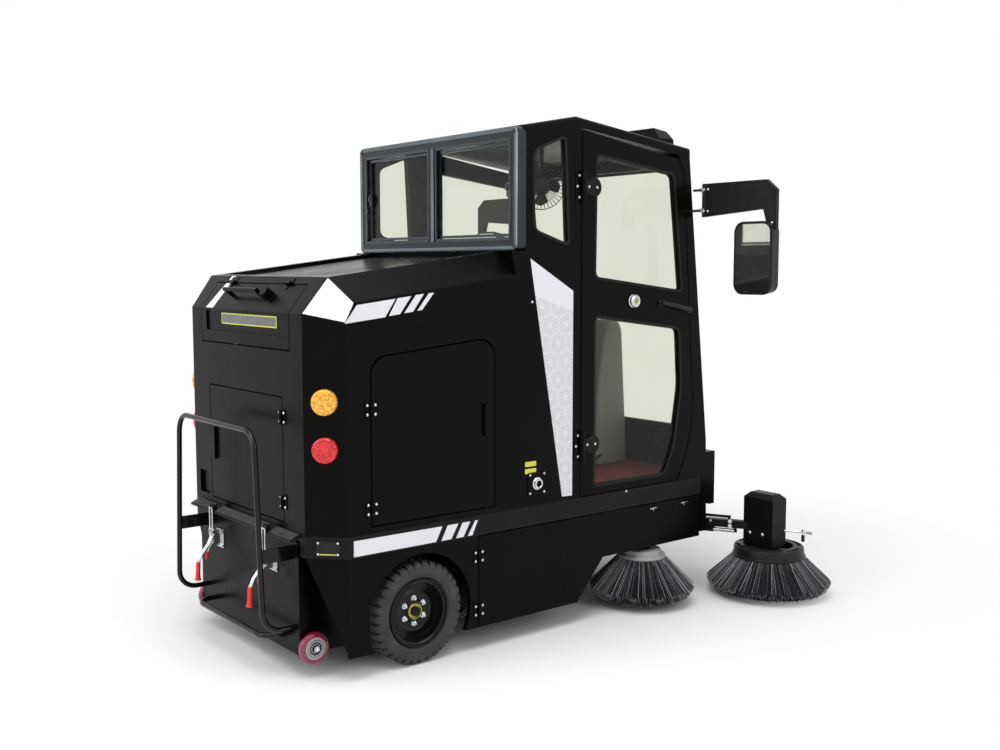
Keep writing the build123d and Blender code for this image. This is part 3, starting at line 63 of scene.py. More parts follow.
# The body's main planes
SIDE_Y = 0.615
REAR_X = -1.276
CORNER_CUT = 0.12
SLOPE_FOOT = Vector((-1.276, 0, 1.428))
SLOPE_TOP = Vector((-1.172, 0, 1.566))
CAB_HINGE_Z = (0.811, 1.953)

# A film's thickness, and the gap that keeps it clear of what it lies on
FILM = 0.0006
FILM_GAP = 0.0002

# Directions: up, outward from the right side, and to the rear
UP = Vector((0, 0, 1))
OUT = (0, -1, 0)
BACK = (-1, 0, 0)
RIGHT, LEFT = -1, 1
SIDES = ((RIGHT, "right"), (LEFT, "left"))

# Shading turns sharp at this angle
CREASE = radians(35)


class SweeperColours(bpy.types.PropertyGroup):
    """Colours of the sweeper's finishes."""

    body: bpy.props.FloatVectorProperty(
        name="Body", description="Gloss black paint of the panels", subtype="COLOR", size=3,
        default=(0.0019, 0.0019, 0.0017))
    window_frame: bpy.props.FloatVectorProperty(
        name="Window frame", description="Dark metal of the rear window", subtype="COLOR", size=3,
        default=(0.01, 0.012, 0.014))
    film: bpy.props.FloatVectorProperty(
        name="Film", description="Pale film of the stripes and pillar panels", subtype="COLOR", size=3,
        default=(0.78, 0.77, 0.82))
    glass: bpy.props.FloatVectorProperty(
        name="Glass", description="Tint of the panes", subtype="COLOR", size=3,
        default=(0.86, 0.87, 0.8))
    amber: bpy.props.FloatVectorProperty(
        name="Amber lens", description="Indicator lamps", subtype="COLOR", size=3,
        default=(0.92, 0.43, 0.035))
    red: bpy.props.FloatVectorProperty(
        name="Red lens", description="Tail lamps", subtype="COLOR", size=3,
        default=(0.66, 0.008, 0.016))
    mat: bpy.props.FloatVectorProperty(
        name="Floor mat", description="Ribbed mat in the cab", subtype="COLOR", size=3,
        default=(0.17, 0.006, 0.009))
    grip: bpy.props.FloatVectorProperty(
        name="Latch grips", description="Soft red grips", subtype="COLOR", size=3,
        default=(0.7, 0.015, 0.022))
    caster: bpy.props.FloatVectorProperty(
        name="Caster tread", description="Crimson casters", subtype="COLOR", size=3,
        default=(0.21, 0.005, 0.036))
    bristle: bpy.props.FloatVectorProperty(
        name="Bristle", description="Dark nylon bristle", subtype="COLOR", size=3,
        default=(0.04, 0.041, 0.046))


class SweeperSizes(bpy.types.PropertyGroup):
    """Sizes of the added detail."""

    tyre_lugs: bpy.props.IntProperty(
        name="Tyre lugs", description="Lugs round each shoulder of a tyre", default=34, min=12, max=60)
    screw: bpy.props.FloatProperty(
        name="Screw head", description="Radius of the hinge screws' heads", default=0.0058, unit="LENGTH")
    bristle: bpy.props.FloatProperty(
        name="Bristle", description="Thickness of one strand", default=0.0036, unit="LENGTH")
    bristle_bunches: bpy.props.IntProperty(
        name="Bristle bunches", description="Bunches round each disc brush", default=12, min=6, max=36)
    seal: bpy.props.FloatProperty(
        name="Window seal", description="Width of the rubber round a pane", default=0.012, unit="LENGTH")


def sizes():
    return bpy.context.scene.sweeper_sizes


# Shapes

def to_mesh(name, bm):
    """End the work on a mesh and keep what it made."""
    mesh = bpy.data.meshes.new(name)
    bm.to_mesh(mesh)
    bm.free()
    return mesh


def new_object(name, data):
    made = bpy.data.objects.new(name, data)
    bpy.context.scene.collection.objects.link(made)
    return made


def hand_over(name, bm, finish, body, side=RIGHT):
    """Make the worked mesh a piece that rides on a body; the right side's work is mirrored for the left."""
    if side == LEFT:
        bmesh.ops.scale(bm, verts=bm.verts[:], vec=(1, -1, 1))
    bmesh.ops.recalc_face_normals(bm, faces=bm.faces[:])
    mesh = to_mesh(name, bm)
    for face in mesh.polygons:
        face.use_smooth = True
    mesh.set_sharp_from_angle(angle=CREASE)
    mesh.materials.append(finishes[finish])
    piece = new_object(name, mesh)
    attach(piece, body)
    return piece


def box_centre(node):
    """The middle of a frame node's box."""
    low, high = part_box(node)
    return (low + high) / 2


def box_width(node):
    """How wide a frame node is, from right to left."""
    low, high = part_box(node)
    return high.y - low.y


def on_side(y, points):
    """(x, z) points put on a plane that faces sideways."""
    return [(x, y, z) for x, z in points]


def across(x, points):
    """(y, z) points put on a plane that faces forward."""
    return [(x, y, z) for y, z in points]


def oblong(low, high):
    """The four corners between two opposite ones."""
    return (low[0], low[1]), (high[0], low[1]), (high[0], high[1]), (low[0], high[1])


def facing(normal, way):
    """The normal, turned round if it points away from way."""
    return -normal if normal.dot(Vector(way)) < 0 else normal


def ease(bm, edges, offset, segments=2):
    bmesh.ops.bevel(bm, geom=edges, offset=offset, offset_type="OFFSET", segments=segments, profile=0.5,
                    affect="EDGES", material=-1)


def level_edges(bm, axis):
    """The edges that don't run along an axis."""
    return [edge for edge in bm.edges if abs(edge.verts[0].co[axis] - edge.verts[1].co[axis]) < 1e-5]


def bar(bm, start, end, radius, sides=14, end_radius=None):
    """A round bar, or a tapered one, between two points."""
    start, end = Vector(start), Vector(end)
    line = end - start
    turn = line.normalized().to_track_quat("Z", "Y").to_matrix().to_4x4()
    return bmesh.ops.create_cone(
        bm, cap_ends=True, cap_tris=False, segments=sides, radius1=radius,
        radius2=radius if end_radius is None else end_radius, depth=line.length,
        matrix=Matrix.Translation((start + end) / 2) @ turn)["verts"]


def block(bm, centre, size, turn=None, edge=0.0):
    """A box with eased edges."""
    place = Matrix.Translation(Vector(centre)) @ (turn or Matrix.Identity(4))
    made = bmesh.ops.create_cube(bm, size=1, matrix=place @ Matrix.Diagonal((*size, 1)))["verts"]
    if edge:
        ease(bm, list({one for vert in made for one in vert.link_edges}), edge)


def slab(bm, corners, depth, radius=0.0, steps=5, rim=0.0):
    """A flat outline drawn out by depth, its corners rounded; with rim only a frame of that width."""
    verts = [bm.verts.new(corner) for corner in corners]
    bm.faces.new(verts)
    if radius:
        made = bmesh.ops.bevel(bm, geom=verts, offset=radius, offset_type="OFFSET", segments=steps,
                               profile=0.5, affect="VERTICES", material=-1)
        verts = made["verts"]
    faces = list({face for vert in verts for face in vert.link_faces})
    if rim:
        ring = bmesh.ops.inset_region(bm, faces=faces, thickness=rim, use_even_offset=True,
                                      use_boundary=True)["faces"]
        bmesh.ops.delete(bm, geom=faces, context="FACES")
        faces = ring
    grown = bmesh.ops.extrude_face_region(bm, geom=faces)["geom"]
    moved = [item for item in grown if isinstance(item, bmesh.types.BMVert)]
    bmesh.ops.translate(bm, verts=moved, vec=Vector(depth))


def turned(bm, centre, axis, start, profile, steps=48):
    """A closed profile of (radius, along) points spun round an axis."""
    centre, axis, start = Vector(centre), Vector(axis), Vector(start)
    verts = [bm.verts.new(centre + start * radius + axis * along) for radius, along in profile]
    edges = [bm.edges.new((verts[i - 1], verts[i])) for i in range(len(verts))]
    bmesh.ops.spin(bm, geom=verts + edges, cent=centre, axis=axis, dvec=(0, 0, 0), angle=2 * pi,
                   steps=steps, use_merge=True, use_duplicate=False)


def repeat_round(bm, centre, axis, count):
    """Copies of all that is in hand, evenly round an axis."""
    bmesh.ops.spin(bm, geom=everything(bm), cent=Vector(centre), axis=Vector(axis), dvec=(0, 0, 0),
                   angle=2 * pi * (count - 1) / count, steps=count - 1, use_merge=False,
                   use_duplicate=True)


def everything(bm):
    return bm.verts[:] + bm.edges[:] + bm.faces[:]


def shift(bm, way):
    bmesh.ops.translate(bm, verts=bm.verts[:], vec=way)


def swing(bm, angle, axis):
    bmesh.ops.rotate(bm, verts=bm.verts[:], cent=(0, 0, 0), matrix=Matrix.Rotation(angle, 3, axis))


def add_in(bm, other):
    """Put another worked mesh into this one."""
    spare = to_mesh("spare", other)
    bm.from_mesh(spare)
    bpy.data.meshes.remove(spare)


def tube(bm, points, radius, sides=12):
    """Round bars from point to point, with a ball at each bend."""
    points = [Vector(point) for point in points]
    for start, end in zip(points, points[1:]):
        bar(bm, start, end, radius, sides)
    for point in points[1:-1]:
        bmesh.ops.create_uvsphere(bm, u_segments=sides, v_segments=sides // 2 + 1, radius=radius,
                                  matrix=Matrix.Translation(point))


def other_side(bm):
    """Add the mirror image across the middle of the machine."""
    copy = bmesh.ops.duplicate(bm, geom=everything(bm))["geom"]
    verts = [item for item in copy if isinstance(item, bmesh.types.BMVert)]
    bmesh.ops.scale(bm, verts=verts, vec=(1, -1, 1))


def screw_head(bm, place, outward, radius, sides=12):
    """A low domed screw head standing on a surface."""
    outward = Vector(outward).normalized()
    place = Vector(place)
    bar(bm, place - outward * 0.001, place + outward * radius * 0.45, radius, sides)
    bar(bm, place + outward * radius * 0.45, place + outward * radius * 0.8, radius, sides, radius * 0.55)


def hex_bolt(bm, place, outward, radius):
    """A hexagon head on its washer."""
    outward = Vector(outward).normalized()
    place = Vector(place)
    bar(bm, place - outward * 0.001, place + outward * 0.002, radius * 1.35, 18)
    bar(bm, place + outward * 0.002, place + outward * radius * 1.1, radius, 6)
    bar(bm, place + outward * radius * 1.1, place + outward * radius * 1.25, radius * 0.9, 6, radius * 0.75)


# Finishes

LATTICE_PERIOD = 0.046
PILLAR_EDGE_TOP, PILLAR_EDGE_FALL = 1.4065, -0.345


def colour(name):
    """One of the colours in the panel's settings."""
    return tuple(getattr(bpy.context.scene.sweeper_colours, name))


def times(tint, share):
    """A colour made darker or lighter."""
    return tuple(min(1.0, one * share) for one in tint)


def join(node, inputs):
    """Give a node's inputs plain values or other nodes' outputs."""
    for socket, value in inputs.items():
        if isinstance(value, bpy.types.NodeSocket):
            node.id_data.links.new(value, node.inputs[socket])
        else:
            node.inputs[socket].default_value = value


def new_node(tree, kind, inputs, **settings):
    node = tree.nodes.new("ShaderNode" + kind)
    for name, value in settings.items():
        setattr(node, name, value)
    join(node, inputs)
    return node


def new_finish(name):
    material = bpy.data.materials.new(name)
    material.use_nodes = True
    tree = material.node_tree
    return material, tree, tree.nodes["Principled BSDF"]


def object_place(tree, scale=(1, 1, 1)):
    """The place on the piece, measured in its own space."""
    coordinates = new_node(tree, "TexCoord", {}).outputs["Object"]
    return new_node(tree, "Mapping", {"Vector": coordinates, "Scale": scale}).outputs["Vector"]


def noise(tree, place, scale, detail):
    return new_node(tree, "TexNoise", {"Vector": place, "Scale": scale, "Detail": detail}).outputs["Fac"]


def cells(tree, place, scale):
    return new_node(tree, "TexVoronoi", {"Vector": place, "Scale": scale}).outputs["Distance"]


def spread(tree, value, low, high, start=0.3, end=0.7):
    """Map a value from start..end to low..high."""
    return new_node(tree, "MapRange", {"Value": value, "From Min": start, "From Max": end,
                                       "To Min": low, "To Max": high}).outputs["Result"]


def two_tone(tree, share, first, second):
    return new_node(tree, "Mix", {"Factor": share, "A": (*first, 1), "B": (*second, 1)},
                    data_type="RGBA").outputs["Result"]


def math_node(tree, operation, *values):
    return new_node(tree, "Math", dict(enumerate(values)), operation=operation).outputs["Value"]


def vector_node(tree, operation, *values):
    return new_node(tree, "VectorMath", dict(enumerate(values)), operation=operation).outputs["Value"]


def add_bump(tree, shader, height, strength, distance=0.001):
    bump = new_node(tree, "Bump", {"Height": height, "Strength": strength, "Distance": distance})
    join(shader, {"Normal": bump.outputs["Normal"]})


def blend_out(tree, share, first, second, output="Material Output"):
    """Mix two surfaces and send the result to the output."""
    mixed = new_node(tree, "MixShader", {"Fac": share, 1: first, 2: second})
    join(tree.nodes[output], {"Surface": mixed.outputs["Shader"]})


def seen_rays(tree):
    """1 for the rays that make the picture, 0 for those that only carry light."""
    rays = new_node(tree, "LightPath", {}).outputs
    seen = math_node(tree, "MAXIMUM", rays["Is Camera Ray"], rays["Is Transmission Ray"])
    return math_node(tree, "MAXIMUM", seen, rays["Is Glossy Ray"])


def coat(name, tint, roughness, metallic=0.0, specular=0.5, cloud=3.0, tone=0.25, rough_spread=0.12,
         grain=0.0, grain_scale=400.0, stretch=(1, 1, 1), clear=0.0):
    """A painted, moulded or plated surface: mottled tone, uneven gloss and a fine grain."""
    material, tree, shader = new_finish(name)
    place = object_place(tree, stretch)
    share = spread(tree, noise(tree, place, cloud, 5), 0, 1)
    gloss = noise(tree, place, cloud * 2.7, 6)
    join(shader, {
        "Metallic": metallic, "Specular IOR Level": specular, "Coat Weight": clear, "Coat Roughness": 0.08,
        "Base Color": two_tone(tree, share, times(tint, 1 - tone), times(tint, 1 + tone)),
        "Roughness": spread(tree, gloss, roughness - rough_spread / 2, roughness + rough_spread / 2)})
    if grain:
        add_bump(tree, shader, noise(tree, place, grain_scale, 2), grain)
    return material


def pane_glass(name, tint):
    """Clear pane: it lets the lamps through, so the cab behind it isn't dark."""
    material, tree, shader = new_finish(name)
    smear = noise(tree, object_place(tree), 6, 4)
    join(shader, {"Roughness": spread(tree, smear, 0.0, 0.03), "Transmission Weight": 1.0, "IOR": 1.2,
                  "Base Color": two_tone(tree, smear, tint, times(tint, 0.985))})
    clear = new_node(tree, "BsdfTransparent", {"Color": (*tint, 1)})
    shadow = new_node(tree, "LightPath", {}).outputs["Is Shadow Ray"]
    blend_out(tree, shadow, shader.outputs["BSDF"], clear.outputs["BSDF"])
    return material


def lattice_film(name, tint):
    """Pale film with a star lattice of crossing lines below a slanting edge, plain above it."""
    material, tree, shader = new_finish(name)
    place = object_place(tree)
    nearest = None
    for period, start in ((LATTICE_PERIOD, 0.0), (LATTICE_PERIOD * 0.866, pi / 6)):
        for index in range(3):
            angle = start + index * pi / 3
            along = vector_node(tree, "DOT_PRODUCT", place, (cos(angle) / period, 0, sin(angle) / period))
            away = math_node(tree, "MULTIPLY", math_node(tree, "PINGPONG", along, 0.5), period)
            nearest = away if nearest is None else math_node(tree, "MINIMUM", nearest, away)
    line = spread(tree, nearest, 1, 0, 0.0009, 0.0017)
    split = new_node(tree, "SeparateXYZ", {"Vector": place}).outputs
    edge = math_node(tree, "MULTIPLY_ADD", split["X"], PILLAR_EDGE_FALL, PILLAR_EDGE_TOP)
    above = spread(tree, math_node(tree, "SUBTRACT", split["Z"], edge), 0, 1, -0.001, 0.001)
    plain = math_node(tree, "MAXIMUM", line, above)
    join(shader, {"Base Color": two_tone(tree, plain, times(tint, 0.8), tint),
                  "Roughness": spread(tree, noise(tree, place, 9, 4), 0.26, 0.4)})
    return material


def ribbed_mat(name, tint):
    material, tree, shader = new_finish(name)
    place = object_place(tree)
    wave = new_node(tree, "TexWave", {"Vector": place, "Scale": 22, "Distortion": 0.2}, bands_direction="Y")
    dust = noise(tree, place, 5, 6)
    join(shader, {"Base Color": two_tone(tree, spread(tree, dust, 0, 1), tint, times(tint, 0.6)),
                  "Roughness": spread(tree, dust, 0.55, 0.8)})
    add_bump(tree, shader, wave.outputs["Fac"], 0.6, 0.003)
    return material


def cloth_cover(name, tint):
    """Coated seat cloth with a pebbled grain."""
    material, tree, shader = new_finish(name)
    place = object_place(tree)
    worn = noise(tree, place, 7, 5)
    join(shader, {"Base Color": two_tone(tree, spread(tree, worn, 0, 1), tint, times(tint, 1.6)),
                  "Roughness": spread(tree, worn, 0.42, 0.6), "Sheen Weight": 0.15})
    add_bump(tree, shader, cells(tree, place, 260), 0.35)
    return material


def lamp_lens(name, tint):
    """Coloured lens with a faint cellular pattern; its weak glow is painted light, standing in for the bright
    reflector behind it.
    """
    material, tree, shader = new_finish(name)
    facets = cells(tree, object_place(tree), 95)
    pale = tuple(min(1, one * 1.1 + 0.015) for one in tint)
    tone = two_tone(tree, spread(tree, facets, 0, 1, 0.1, 0.7), pale, times(tint, 0.55))
    # The emission is a painted glow: the lens gives off light of its own in place of light thrown back by the
    # reflector.
    join(shader, {"Base Color": tone, "Roughness": 0.12, "Coat Weight": 0.25, "Emission Color": tone,
                  "Emission Strength": 0.25})
    add_bump(tree, shader, facets, 0.5, 0.002)
    return material


def strand_finish(name, tint):
    """Nylon strands: each strand is a little lighter or darker than the next."""
    material, tree, shader = new_finish(name)
    tone = new_node(tree, "Attribute", {}, attribute_name="strand_tone").outputs["Fac"]
    gloss = noise(tree, object_place(tree), 40, 3)
    join(shader, {"Base Color": two_tone(tree, tone, times(tint, 0.35), times(tint, 11)),
                  "Roughness": spread(tree, gloss, 0.22, 0.4)})
    return material


class SWEEPER_OT_finishes(bpy.types.Operator):
    """All the sweeper's finishes, under the names that the pieces ask for."""

    bl_idname = "sweeper.finishes"
    bl_label = "Finishes"

    def execute(self, context):
        finishes.update(
            body_paint=coat("body_paint", colour("body"), 0.27, specular=0.07, cloud=2.2, tone=0.3,
                            grain=0.05, grain_scale=700),
            frame_paint=coat("frame_paint", (0.005, 0.005, 0.005), 0.42, specular=0.14, cloud=4, grain=0.12,
                             grain_scale=500),
            tube_paint=coat("tube_paint", (0.004, 0.004, 0.004), 0.13, specular=0.3, cloud=9,
                            rough_spread=0.06),
            window_metal=coat("window_metal", colour("window_frame"), 0.3, metallic=0.35, specular=0.6,
                              cloud=5, tone=0.2, grain=0.04, grain_scale=600),
            film=coat("film", colour("film"), 0.3, specular=0.4, cloud=5, tone=0.03),
            lattice=lattice_film("lattice", colour("film")),
            glass=pane_glass("glass", colour("glass")),
            amber=lamp_lens("amber_lens", colour("amber")),
            red=lamp_lens("red_lens", colour("red")),
            clear_lens=lamp_lens("clear_lens", (0.75, 0.78, 0.8)),
            plastic=coat("dark_plastic", (0.007, 0.007, 0.0075), 0.45, specular=0.25, cloud=12, grain=0.3,
                         grain_scale=900),
            rubber=coat("seal_rubber", (0.004, 0.004, 0.004), 0.5, specular=0.2, cloud=20, grain=0.1),
            mat=ribbed_mat("floor_mat", colour("mat")),
            seat=cloth_cover("seat_cover", (0.012, 0.012, 0.0125)),
            tyre=coat("tyre_rubber", (0.03, 0.03, 0.028), 0.62, specular=0.4, cloud=14, tone=0.4,
                      rough_spread=0.2, grain=0.25, grain_scale=260),
            rim=coat("rim_paint", (0.004, 0.004, 0.004), 0.2, specular=0.22, cloud=10, rough_spread=0.06),
            steel=coat("zinc_plate", (0.66, 0.68, 0.7), 0.22, metallic=1.0, cloud=25, tone=0.1),
            brass=coat("yellow_zinc", (0.42, 0.38, 0.12), 0.35, metallic=0.9, cloud=60, tone=0.2),
            caster=coat("caster_tread", colour("caster"), 0.25, specular=0.6, cloud=20, tone=0.15, clear=0.4),
            caster_hub=coat("caster_hub", (0.36, 0.37, 0.39), 0.35, cloud=40, tone=0.12),
            grip=coat("latch_grip", colour("grip"), 0.35, cloud=30, tone=0.1),
            strands=strand_finish("bristle_strands", colour("bristle")),
            # Painted shade: a dark matte fill inside the disc brushes, far darker than the strands, standing
            # in for the shade among and under the bristle.
            bristle_core=coat("bristle_core", times(colour("bristle"), 0.3), 0.9, specular=0.1, cloud=60,
                              tone=0.4, grain=0.8, grain_scale=300),
            pale_plate=coat("pale_plate", (0.3, 0.31, 0.3), 0.45, cloud=14, tone=0.15),
            mirror=coat("mirror_face", (0.86, 0.88, 0.9), 0.03, metallic=1.0, tone=0.02, rough_spread=0.02),
            battery=coat("battery_case", (0.06, 0.06, 0.07), 0.6, cloud=9, grain=0.3, grain_scale=300),
            label_grey=coat("label_grey", (0.13, 0.135, 0.13), 0.4, cloud=40),
            window_trim=coat("window_trim", (0.075, 0.088, 0.098), 0.24, metallic=1.0, cloud=8, tone=0.18,
                             grain=0.06, grain_scale=500, stretch=(1, 0.2, 1)),
            window_edge=coat("window_edge", (0.17, 0.195, 0.215), 0.3, metallic=1.0, cloud=4, tone=0.3,
                             grain=0.05, grain_scale=500, stretch=(1, 0.3, 1)),
            plate_black=coat("plate_black", (0.006, 0.006, 0.006), 0.35, specular=0.3, cloud=30, tone=0.2),
            grit=coat("gritty_tread", (0.045, 0.045, 0.042), 0.8, specular=0.3, cloud=60, tone=0.5, grain=0.9,
                      grain_scale=520),
            wire=coat("fan_wire", (0.02, 0.02, 0.021), 0.35, specular=0.4, cloud=30, tone=0.3),
            label_yellow=coat("label_yellow", (0.62, 0.64, 0.06), 0.4, cloud=30, tone=0.06),
            liner=coat("inner_panel", (0.2, 0.21, 0.2), 0.5, cloud=6, tone=0.1, grain=0.1),
        )
        return {"FINISHED"}


NODE_FINISHES = (
    ("body_paint", "side_skirts rear_housing rear_door cab_bulkhead cab_quarters roof front_panel "
                   "front_frame front_bumper skirt_door_right skirt_door_left access_door_right "
                   "access_door_left top_lid cab_door_right cab_door_left dust_bin light_bar brush_motors"),
    ("frame_paint", "chassis_frame steering_fork front_arm_right front_arm_left cab_fan"),
    ("liner", "seat_base"),
    ("tube_paint", "bin_handle"),
    ("window_metal", "rear_window_frame"),
    ("lattice", "pillar_panels"),
    ("glass", "fixed_glass windscreen door_glass_right door_glass_left"),
    ("amber", "indicator_lamps"),
    ("red", "tail_lamps"),
    ("clear_lens", "headlamps"),
    ("plastic", "steering_column handwheel mirrors"),
    ("mat", "cab_floor"),
    ("seat", "seat_cushion seat_back"),
    ("tyre", "rear_tyre_right rear_tyre_left front_tyre"),
    ("rim", "rear_rim_right rear_rim_left front_rim"),
    ("caster", "caster_right caster_left"),
    ("steel", "bin_latches"),
    ("strands", "roller_brush side_brush_right side_brush_left front_brush_right front_brush_left"),
    ("mirror", "mirror_glass"),
    ("battery", "battery_block"),
)


# Stage

FLOOR_NEAR, FLOOR_FAR = 1.0, 2.3
FLOOR_STRETCH = (0.69, 1.05, 1)
SKY_LIGHT = 0.62
# Name, place, what it is aimed at, edge and power
LAMPS = (
    ("lamp_over", (-1.5, -1.0, 5.5), (0, 0, 0.8), 4.5, 190),
    ("lamp_rear", (-6.5, 0.5, 3.2), (-1, 0, 0.9), 3.5, 120),
    ("lamp_side", (1.5, -6.5, 3.5), (0, 0, 0.9), 3.0, 60),
)
# The photograph's camera
CAMERA_PLACE, CAMERA_LENS = (-3.342, -4.256, 1.604), 40.46
CAMERA_PITCH, CAMERA_HEADING = radians(5.49), radians(-38.8)


def stage_surface(name, tint):
    """Pale floor that keeps the shadows near the machine and goes to plain white further off."""
    material, tree, shader = new_finish(name)
    join(shader, {"Base Color": (*tint, 1), "Roughness": 0.75, "Specular IOR Level": 0.1})
    away = vector_node(tree, "LENGTH", object_place(tree, FLOOR_STRETCH))
    faded = spread(tree, away, 0, 1, FLOOR_NEAR, FLOOR_FAR)
    white = new_node(tree, "Emission", {})
    blend_out(tree, math_node(tree, "MULTIPLY", faded, seen_rays(tree)), shader.outputs["BSDF"],
              white.outputs["Emission"])
    return material


def set_up(name, data, place, look):
    """Put a lamp or a camera at its place, looking one way."""
    thing = new_object(name, data)
    thing.location = place
    thing.rotation_mode = "QUATERNION"
    thing.rotation_quaternion = look.to_track_quat("-Z", "Y")
    return thing


class SWEEPER_OT_stage(bpy.types.Operator):
    """Floor, lamps, world and the camera at the photograph's angle."""

    bl_idname = "sweeper.stage"
    bl_label = "Stage"

    def execute(self, context):
        bm = bmesh.new()
        bmesh.ops.create_grid(bm, x_segments=4, y_segments=4, size=40)
        mesh = to_mesh("stage_floor", bm)
        mesh.materials.append(stage_surface("stage_floor", (0.93, 0.93, 0.93)))
        new_object("stage_floor", mesh)

        world = bpy.data.worlds.new("soft_studio")
        bpy.context.scene.world = world
        world.use_nodes = True
        tree = world.node_tree
        soft = tree.nodes["Background"]
        join(soft, {"Color": (1, 1, 1, 1), "Strength": SKY_LIGHT})
        backdrop = new_node(tree, "Background", {"Color": (1, 1, 1, 1), "Strength": 1.0})
        blend_out(tree, seen_rays(tree), soft.outputs["Background"], backdrop.outputs["Background"],
                  "World Output")

        for name, place, aim, size, power in LAMPS:
            light = bpy.data.lights.new(name, "AREA")
            light.shape = "SQUARE"
            light.size = size
            light.energy = power
            set_up(name, light, place, Vector(aim) - Vector(place))

        lens = bpy.data.cameras.new("camera")
        lens.sensor_width = 36
        lens.lens = CAMERA_LENS
        look = Vector((-sin(CAMERA_HEADING) * cos(CAMERA_PITCH), cos(CAMERA_HEADING) * cos(CAMERA_PITCH),
                       -sin(CAMERA_PITCH)))
        bpy.context.scene.camera = set_up("camera", lens, CAMERA_PLACE, look)
        bpy.context.scene.view_settings.view_transform = "Standard"
        return {"FINISHED"}


class SWEEPER_OT_dress(bpy.types.Operator):
    """Give the frame's own pieces their finishes."""

    bl_idname = "sweeper.dress"
    bl_label = "Dress frame"

    def execute(self, context):
        for finish, names in NODE_FINISHES:
            for name in names.split():
                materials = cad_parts[name].data.materials
                materials.clear()
                materials.append(finishes[finish])
        return {"FINISHED"}


# Films

UPPER_STRIPES = (
    ((-1.16, 1.392), (-1.107, 1.461), (-0.932, 1.482), (-0.981, 1.412)),
    ((-0.964, 1.416), (-0.922, 1.484), (-0.859, 1.491), (-0.912, 1.422)),
    ((-0.893, 1.425), (-0.837, 1.495), (-0.799, 1.499), (-0.851, 1.43)),
    ((-0.831, 1.433), (-0.775, 1.501), (-0.75, 1.503), (-0.808, 1.436)),
)
LOWER_STRIPES = (
    ((-1.133, 0.496), (-1.133, 0.558), (-0.715, 0.556), (-0.747, 0.496)),
    ((-0.72, 0.496), (-0.688, 0.556), (-0.634, 0.556), (-0.671, 0.496)),
    ((-0.646, 0.496), (-0.613, 0.556), (-0.573, 0.556), (-0.608, 0.496)),
    ((-0.586, 0.496), (-0.547, 0.556), (-0.533, 0.556), (-0.562, 0.496)),
)
CORNER_FILM_LOW_Z = 1.395
CORNER_FILM_TOP_IN = 0.1
CORNER_FILM_FAR = (-1.118, 1.47)
CORNER_FILM_INSET = 0.03
LID_FILM = ((-1.2745, 0.285), (-1.2745, 0.353), (-1.1965, 0.31), (-1.1965, 0.268))
SLOPE_FILM = ((-1.1885, 0.266), (-1.1885, 0.305), (-1.1735, 0.298), (-1.1735, 0.263))
SLOPE_OUT = Vector((-0.138, 0, 0.104)).normalized()


def slope_point(x, y):
    """A point on the rear slope."""
    share = (x - SLOPE_FOOT.x) / (SLOPE_TOP.x - SLOPE_FOOT.x)
    return Vector((x, y, SLOPE_FOOT.z + share * (SLOPE_TOP.z - SLOPE_FOOT.z)))


class SWEEPER_OT_films(bpy.types.Operator):
    """White stripes along both sides, on the cut corners and on the lid."""

    bl_idname = "sweeper.films"
    bl_label = "Films"

    def execute(self, context):
        bm = bmesh.new()
        for stripe in UPPER_STRIPES + LOWER_STRIPES:
            slab(bm, on_side(-SIDE_Y - FILM_GAP, stripe), (0, -FILM, 0))
        corner = Vector((REAR_X, CORNER_CUT - SIDE_Y, SLOPE_FOOT.z))
        low = Vector((REAR_X + CORNER_CUT, -SIDE_Y, CORNER_FILM_LOW_Z))
        high = Vector((SLOPE_TOP.x, -SIDE_Y + CORNER_FILM_TOP_IN, SLOPE_TOP.z))
        far = Vector((CORNER_FILM_FAR[0], -SIDE_Y, CORNER_FILM_FAR[1]))
        outward = facing((low - corner).cross(high - corner).normalized(), BACK)
        middle = (corner + low + high + far) / 4
        slab(bm, [point + (middle - point) * CORNER_FILM_INSET + outward * FILM_GAP
                  for point in (corner, low, far, high)], outward * FILM)
        other_side(bm)
        hand_over("side_films", bm, "film", "chassis")
        for name, outline, body in (("lid_film", LID_FILM, "top_lid"), ("slope_film", SLOPE_FILM, "chassis")):
            bm = bmesh.new()
            slab(bm, [slope_point(x, y) + SLOPE_OUT * FILM_GAP for x, y in outline], SLOPE_OUT * FILM)
            hand_over(name, bm, "film", body)
        return {"FINISHED"}


# Hinge screws and straps

SIDE_BUTTS = (("access_door_", -1.0493, (0.672, 1.059)), ("skirt_door_", -0.529, (0.172, 0.401)))
REAR_BUTTS_Z = (0.683, 1.02)
REAR_BUTT_SCREWS_Y = (-0.348, -0.312)
LEAF_THICK = 0.003
LEAF_SCREW = 0.018
STRAP_SCREWS = ((0.081, 0.001), (0.129, 0.0))
STRAP_SCREW_R = 0.0062
STRAP_FACE, STRAP_THICK = 0.0031, 0.0032
STRAP_ROOT_X, STRAP_ROOT_HALF = 0.0595, 0.026
STRAP_END_X, STRAP_END_R = 0.115, 0.042
STRAP_TURNS = [radians(120 - 12 * step) for step in range(21)]
POST_SCREWS = ((0.026, 0.047), (0.014, 0.0), (0.026, -0.047))
POST_FACE = 0.0035


